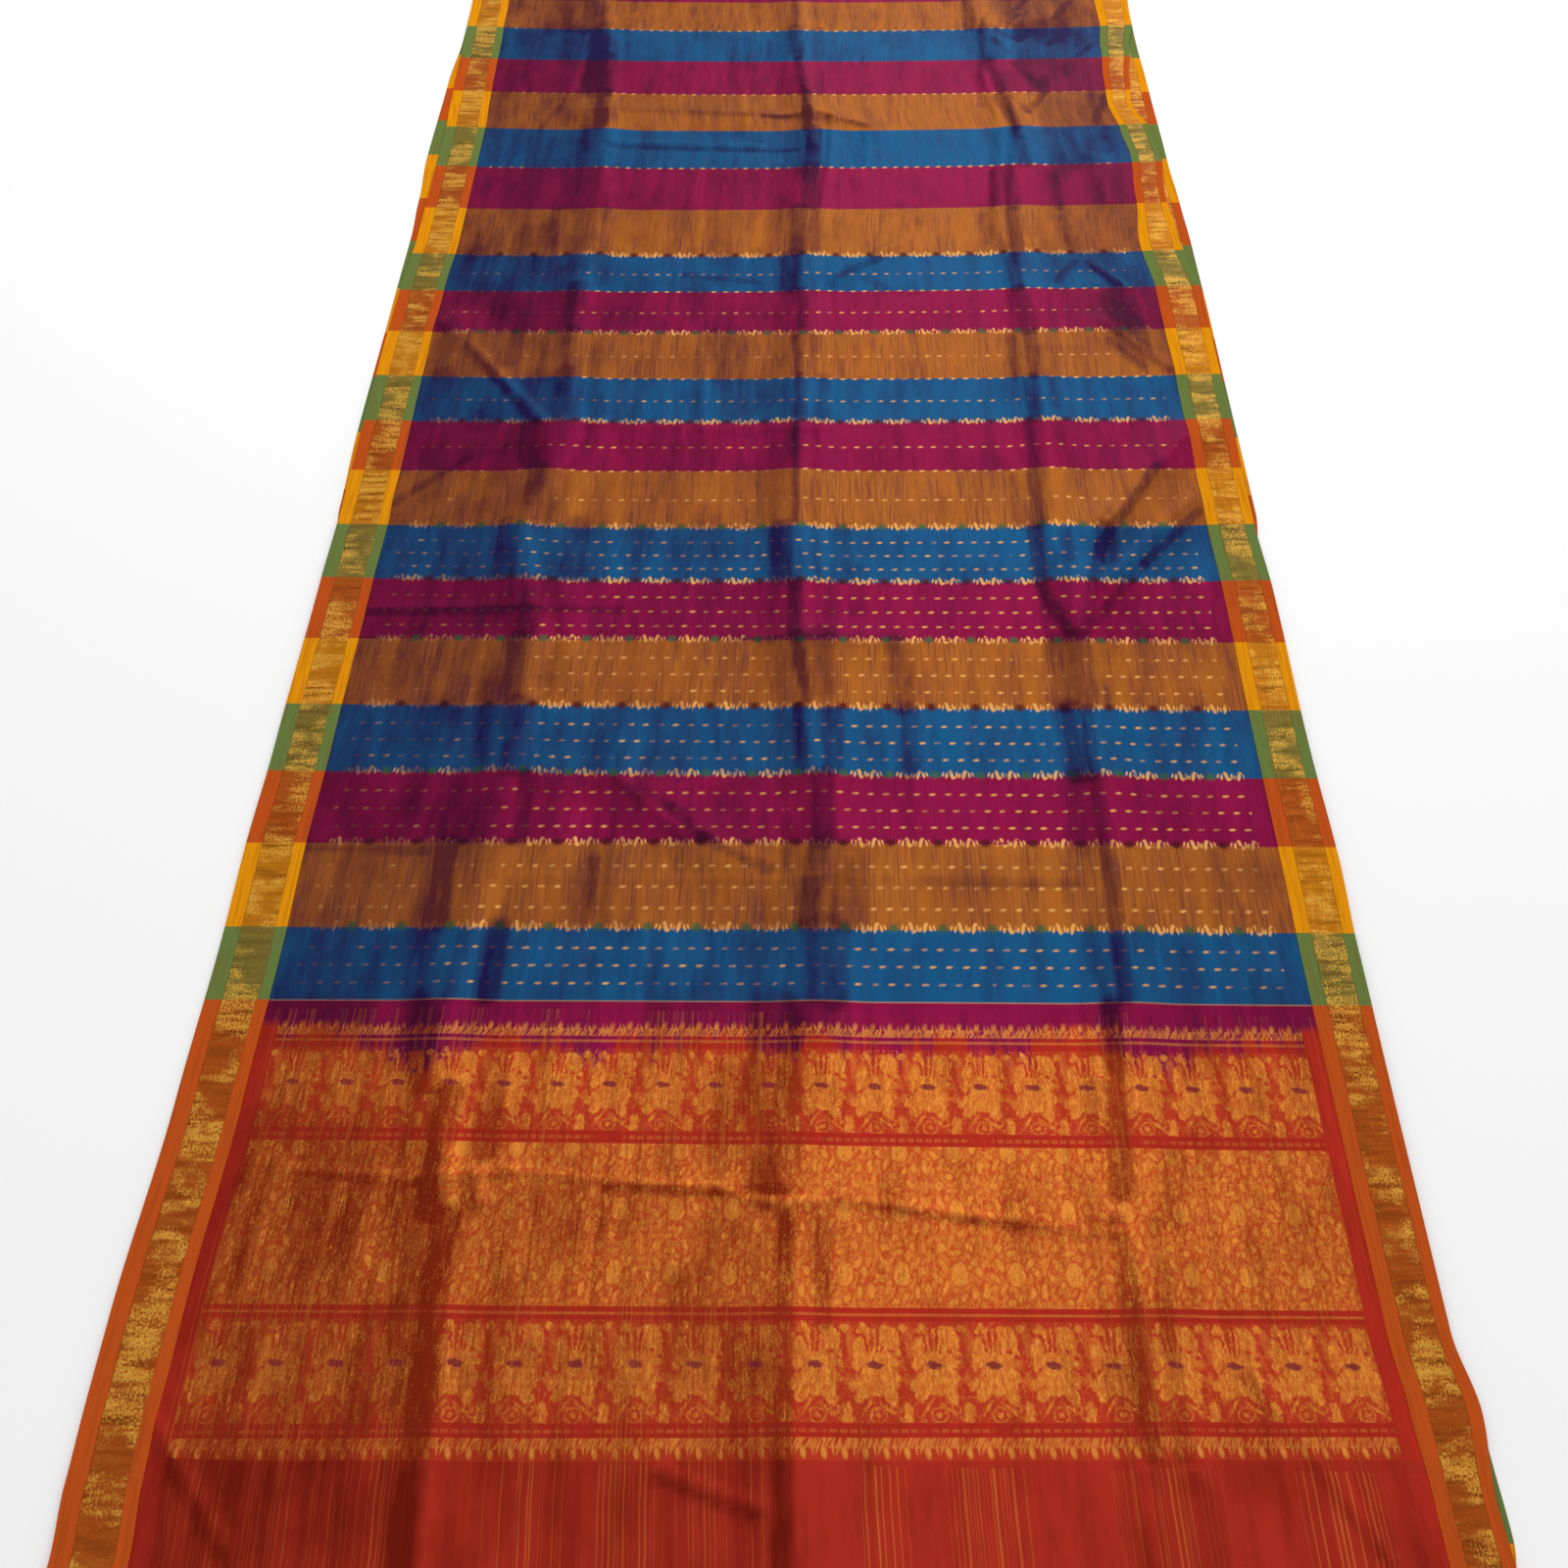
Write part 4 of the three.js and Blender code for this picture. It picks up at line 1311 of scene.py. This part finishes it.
class PalluSilk(Silk):
    """The pallu's silk, with the golds and the uneven threads that its figures share."""

    def __init__(self, name):
        super().__init__(name)
        # lit: the painted light and shade, with random streaks and patches
        self.lit = self.shot_tone()
        streaks = self.clouds(7, 90, detail=3.0, roughness=0.7)
        self.stain = streaks * 90 + self.clouds(90, 500) * 130
        self.fade = (self.along + self.stain).above(FADE_START, FADE_LENGTH)
        self.magenta = self.warp_lines(WARP_SEEN).dyed(self.lit.dyed(*MAGENTA), PURPLE_WARP)
        threads = self.clouds(1.5, 3.2, detail=1.0) + self.clouds(3.0, 26, detail=1.0)
        # The gold's painted light, made uneven by its threads
        gold_tone = (self.lit + (threads - 1.0) * THREAD_CONTRAST).held()
        self.gold = gold_tone.dyed(*PALLU_GOLD)
        self.pale_gold = gold_tone.dyed(*PALE_GOLD)
        leaning = (self.across - self.along * HATCH_LEAN).joined(self.along)
        leaning = leaning.scaled(1 / HATCH_WIDTH, 1 / HATCH_LENGTH)
        hatch_noise = {"Vector": leaning, "Scale": 1.0, "Detail": 1.0}
        self.hatching = leaning.add("ShaderNodeTexNoise", {"noise_dimensions": "2D"}, hatch_noise)
        self.ragged_across, self.ragged_along, _ = self.ruffled(RAGGED_REACH, RAGGED_SIZE)
        self.scrolls = self.clouds(7.5, 10.0, detail=1.0).within(0.5, 0.022, 0.04)
        cuts = self.clouds(1.8, 8.0, detail=1.0).above(0.62, 0.1)
        self.gaps = self.scrolls.either(cuts) * GAP_STRENGTH

    def faded(self, red):
        """A red of the ground. It fades from the magenta of the last stripe."""
        return self.fade.dyed(self.lit.dyed(*red), self.magenta)

    def flower_bands(self):
        """The ground and both flower bands, by one drawing set at the near edge of each."""
        to_upper = self.along.above(UPPER_FROM, 1.0)
        to_next = UPPER_FLOWERS.start - LOWER_FLOWERS.start
        height = self.ragged_along - (to_upper * to_next + LOWER_FLOWERS.start)
        across = self.ragged_across - SPRAY_START + to_upper * -SPRAY_SHIFT
        across = across.repeated(SPRAY_REPEAT)
        place = across.joined(height)
        between = (across + SPRAY_REPEAT / 2).repeated(SPRAY_REPEAT).joined(height)
        rays = (across / (height - RAY_FOOT) * RAY_SPREAD).math("SINE").above(0.0, 0.9)
        fan = rays * place.oval(*RAY_FAN).drawn(FIGURE_EDGE)
        curls = place.ovals(CURL_HEARTS, CURL_RINGS).drawn(FIGURE_EDGE) * CURL_STRENGTH
        red = (place.ovals(SPRAY_RED) | between.ovals(BETWEEN_RED)).drawn(FIGURE_EDGE)
        sprays = (place.ovals(SPRAY_GOLD) | between.ovals(BUD_GOLD)).drawn(FIGURE_EDGE).either(fan)
        shaded = between.ovals(BETWEEN_SHADED).drawn(3.0) * SHADED_STRENGTH
        sprays = (sprays.either(shaded) * (1.0 - red)).either(curls)
        tendrils = self.clouds(6.0, 12.0, detail=1.0).within(0.47, 0.02, 0.035)
        sprays = sprays * (1.0 - self.gaps) + (1.0 - sprays) * tendrils * TENDRIL_STRENGTH
        mottled = self.clouds(4.6, 11, detail=2.0).below(0.47, 0.16)
        mottled = mottled.either(self.hatching.below(0.4, 0.1))
        figure_gold = (mottled * MOTTLED_STRENGTH).dyed(self.gold, self.lit.dyed(*SHADED_GOLD))
        in_flowers = in_bands(self, [LOWER_FLOWERS, UPPER_FLOWERS])
        cloth = (sprays * in_flowers).dyed(self.faded(GROUND_RED), figure_gold)
        spots = place.oval(*SPOT).drawn(1.6) * in_flowers * SPOT_STRENGTH
        return spots.dyed(cloth, SPOT_MAROON)

    def dense_field(self, cloth):
        """Rows of large blossoms, ring flowers halfway between, scrolls and buds around."""
        across = (self.ragged_across - BLOSSOM_START).repeated(BLOSSOM_REPEAT[0])
        height = (self.ragged_along - BLOSSOM_HEIGHT).repeated(BLOSSOM_REPEAT[1])
        beside = (across + BLOSSOM_REPEAT[0] / 2).repeated(BLOSSOM_REPEAT[0])
        opposite = (height + BLOSSOM_REPEAT[1] / 2).repeated(BLOSSOM_REPEAT[1])
        ring_flowers = beside.joined(opposite).ovals(FLOWER_HEARTS, FLOWER_RINGS).drawn(1.8)
        shapes = across.joined(height).ovals(BLOSSOM_GOLD)
        outline = (shapes - 1.0).math("ABSOLUTE").below(0.9, 0.9)
        blossoms = shapes.drawn(1.5)
        buds = self.clouds(4.6, 7.5, detail=2.0).above(0.5, 0.1) * BUD_STRENGTH
        around = self.scrolls.either(self.hatching.above(0.52, 0.16) * 0.5).either(buds)
        around = around.either(ring_flowers * RING_STRENGTH)
        around = (1.0 - blossoms) * around * AROUND_STRENGTH
        dense = blossoms * (1.0 - self.gaps * 0.5) + around
        dense = dense * (1.0 - outline * OUTLINE_STRENGTH)
        dense = dense * (1.0 - self.hatching.below(0.42, 0.1) * HATCH_STRENGTH)
        filled = dense.dyed(self.lit.dyed(*DENSE_GROUND), self.gold)
        return in_bands(self, [DENSE_FIELD]).dyed(cloth, filled)

    def arches(self, cloth):
        """A row of arches at either end, heads outwards, on a slanting base."""
        head = (self.across - ARCH_START).repeated(ARCH_REPEAT)
        upper = head.joined(self.along - UPPER_ARCHES.start)
        lower = head.joined(LOWER_ARCHES.end - self.along)
        arches = (upper.ovals(ARCH_GOLD) | lower.ovals(ARCH_GOLD)).drawn(FIGURE_EDGE)
        upper_base = Band(UPPER_ARCHES.start, UPPER_ARCHES.start + ARCH_BASE)
        lower_base = Band(LOWER_ARCHES.end - ARCH_BASE, LOWER_ARCHES.end)
        slanting = self.hatching.above(0.46, 0.2) * SLANTING_STRENGTH
        base = in_bands(self, [upper_base, lower_base]) * slanting
        return arches.either(base).dyed(cloth, self.pale_gold)

    def lines(self, cloth):
        """Red lines between the bands, with a whole or a broken gold line along each."""
        cloth = in_bands(self, RED_LINES).dyed(cloth, self.faded(LINE_RED))
        broken = self.across.repeated(BROKEN_REPEAT).within(0.0, BROKEN_HALF, 1.0)
        broken = broken * self.clouds(20, 900).above(0.4, 0.2)
        broken = in_bands(self, BROKEN_LINES) * broken * BROKEN_LINE_STRENGTH
        shown = in_bands(self, GOLD_LINES) * GOLD_LINE_STRENGTH + broken
        return shown.dyed(cloth, self.pale_gold)

    def edges(self, cloth):
        """Crimson beside the gold, the last stripe's magenta above and plain red below it."""
        gold_field = self.across.within(CLOTH_WIDTH / 2, GOLD_FIELD, 1.0)
        cloth = gold_field.dyed(self.lit.dyed(*CRIMSON), cloth)
        cloth = self.along.above(MAGENTA_LINE, 1.0).dyed(cloth, self.magenta)
        fringe = (self.along + self.stain * FRINGE_RAGGED).above(FRINGE_START, FRINGE_LENGTH)
        cloth = fringe.dyed(cloth, self.magenta)
        plain = self.along.below(LOWER_ARCHES.start - PLAIN_GAP, 1.0)
        return plain.dyed(cloth, self.lit.dyed(*PLAIN_RED))


pallu_silk = PalluSilk("pallu silk")
pallu_look = pallu_silk.dense_field(pallu_silk.flower_bands())
pallu_look = pallu_silk.edges(pallu_silk.lines(pallu_silk.arches(pallu_look)))
# The yellow warp shows more where the painted light is low
pallu_warp = warp_gold(pallu_silk, PALLU_WARP_GOLD) * pallu_silk.lit.below(0.55, 0.5)
pallu_look = pallu_warp.dyed(pallu_look, pallu_silk.lit.dyed(*PALLU_GOLD))
pallu.data.materials.append(
    pallu_silk.finish(pallu_look, BODY_ROUGHNESS, SILK_METAL, pallu_silk.grain())
)
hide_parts("pallu")

# The plain end
# Red-orange silk with groups of yellow warp threads, from the pallu to the cut end.
PLAIN_CELL = 5
PLAIN_ROUGHNESS = 0.5
PLAIN_METAL = 0.1
PLAIN_WARP_GOLD = 0.34

plain_end = lay_cloth(
    "silk_plain_end",
    even_places(BODY_START, BODY_END, PLAIN_CELL),
    even_places(0, PLAIN_END_LENGTH, PLAIN_CELL),
    lay_upper,
)
plain_silk = Silk("plain end silk")
# The painted light and shade, with random streaks and patches, picks shaded or lit copies of each
# colour
plain_tone = plain_silk.shot_tone()
plain_colour = plain_tone.dyed(*PLAIN_RED)
plain_gold = plain_tone.dyed(*PALLU_GOLD)
plain_colour = warp_gold(plain_silk, PLAIN_WARP_GOLD).dyed(plain_colour, plain_gold)
plain_field = plain_silk.across.within(CLOTH_WIDTH / 2, GOLD_FIELD, 1.0)
plain_colour = plain_field.dyed(plain_tone.dyed(*CRIMSON), plain_colour)
plain_end.data.materials.append(
    plain_silk.finish(plain_colour, PLAIN_ROUGHNESS, PLAIN_METAL, plain_silk.grain())
)
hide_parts("plain_end")

# The borders of the upper layer
# The stiff gold band has drawn up in small puckers all along, where the silk beside it lies
# smooth. Colour squares as on the under layer, and orange all along past the stripes.
UPPER_BORDER_CELL = 3.5
PUCKER_HEIGHT = 1.6
PUCKER_REACH = 26
DRIFT = 2.2
DRIFT_TURNS = 3

# Waves of puckers: their length, over what length they drift, how far they run aslant before
# they turn once, and how many times weaker they are
Pucker = namedtuple("Pucker", "length drift_length aslant weaker")
PUCKERS = [
    Pucker(17.0, 97, 31, 1.5),
    Pucker(29.0, 128, 40, 2.5),
    Pucker(7.3, 159, 49, 3.5),
]


def lay_upper_border(across, run):
    """The upper layer with the puckers of its gold band added."""
    x, y, z, length, tone = lay_upper(across, run)
    pucker = np.zeros_like(x)
    for side, band in GOLD_BANDS.items():
        inside = ease(1 - np.abs(across - band.middle) / PUCKER_REACH)
        for wave in PUCKERS:
            drift = DRIFT * np.sin(run / wave.drift_length + len(side)) + across / wave.aslant
            phase = 2 * math.pi * run / wave.length + DRIFT_TURNS * drift
            pucker += inside * np.sin(phase) / wave.weaker
    on_flat = ease((turn_y - TURN_LIFT_LENGTH / 2 - (run + near_y)) / TURN_LIFT_LENGTH)
    lift = PUCKER_HEIGHT * (pucker + 1.0) * on_flat / 2
    return x, y, z + lift, length, tone


for side, start in (("left", 0), ("right", BODY_END)):
    border = lay_cloth(
        "silk_border_" + side,
        even_places(start, start + BORDER_WIDTH, UPPER_BORDER_CELL),
        places_to_turn(0, UPPER_BORDER_CELL),
        lay_upper_border,
    )
    border.data.materials.append(border_silk("border silk, " + side, side))
    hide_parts("border_" + side)

# The floor, the studio light and the camera
# A plain pale floor, even light from all round and one wide soft light above the far end, to
# the right. The camera looks down at 50 degrees from past the near end. Sizes are metres.
FLOOR_SIZE = 40.0
FLOOR_COLOUR = (0.95, 0.95, 0.95, 1.0)
ALL_ROUND_LIGHT = 0.75
SOFT_BOX_PLACE = Vector((0.7, 3.0, 2.6))
SOFT_BOX_AIM = Vector((0.2, 0.6, 0.0))
SOFT_BOX_SIZE = (1.9, 5.0)
SOFT_BOX_WATTS = 90.0
CAMERA_PLACE = (0.00627344, -1.6699394, 1.44580102)
CAMERA_PITCH = 49.8306
CAMERA_YAW = 0.60286
LENS = 40.0
SENSOR = 36.0

bpy.ops.mesh.primitive_plane_add(size=FLOOR_SIZE, location=(0.0, 0.0, 0.0))
floor = bpy.context.object
floor.name = "floor"
floor_material = bpy.data.materials.new("floor")
floor_material.use_nodes = True
floor_shader = floor_material.node_tree.nodes["Principled BSDF"].inputs
floor_shader["Base Color"].default_value = FLOOR_COLOUR
floor_shader["Roughness"].default_value = 0.9
floor_shader["Specular IOR Level"].default_value = 0.1
floor.data.materials.append(floor_material)

world = bpy.data.worlds.new("studio")
world.use_nodes = True
background = world.node_tree.nodes["Background"].inputs
background["Color"].default_value = (1.0, 1.0, 1.0, 1.0)
background["Strength"].default_value = ALL_ROUND_LIGHT
bpy.context.scene.world = world

soft_light = bpy.data.lights.new("soft light", "AREA")
soft_light.shape = "RECTANGLE"
soft_light.size, soft_light.size_y = SOFT_BOX_SIZE
soft_light.energy = SOFT_BOX_WATTS
soft_box = bpy.data.objects.new("soft light", soft_light)
soft_box.matrix_world = Matrix.LocRotScale(
    SOFT_BOX_PLACE,
    (SOFT_BOX_PLACE - SOFT_BOX_AIM).to_track_quat("Z", "Y"),
    None,
)
bpy.context.scene.collection.objects.link(soft_box)

pitch = math.radians(CAMERA_PITCH)
yaw = math.radians(CAMERA_YAW)
heading = Vector((-math.sin(yaw), math.cos(yaw), 0.0))
camera_right = Vector((math.cos(yaw), math.sin(yaw), 0.0))
camera_ahead = heading * math.cos(pitch) - Vector((0.0, 0.0, 1.0)) * math.sin(pitch)
camera_up = camera_right.cross(camera_ahead)
camera_data = bpy.data.cameras.new("camera")
camera_data.lens = LENS
camera_data.sensor_width = SENSOR
camera = bpy.data.objects.new("camera", camera_data)
turned = Matrix((camera_right, camera_up, -camera_ahead)).transposed().to_4x4()
camera.matrix_world = Matrix.Translation(CAMERA_PLACE) @ turned
bpy.context.scene.collection.objects.link(camera)
bpy.context.scene.camera = camera
bpy.context.scene.view_settings.view_transform = "Standard"
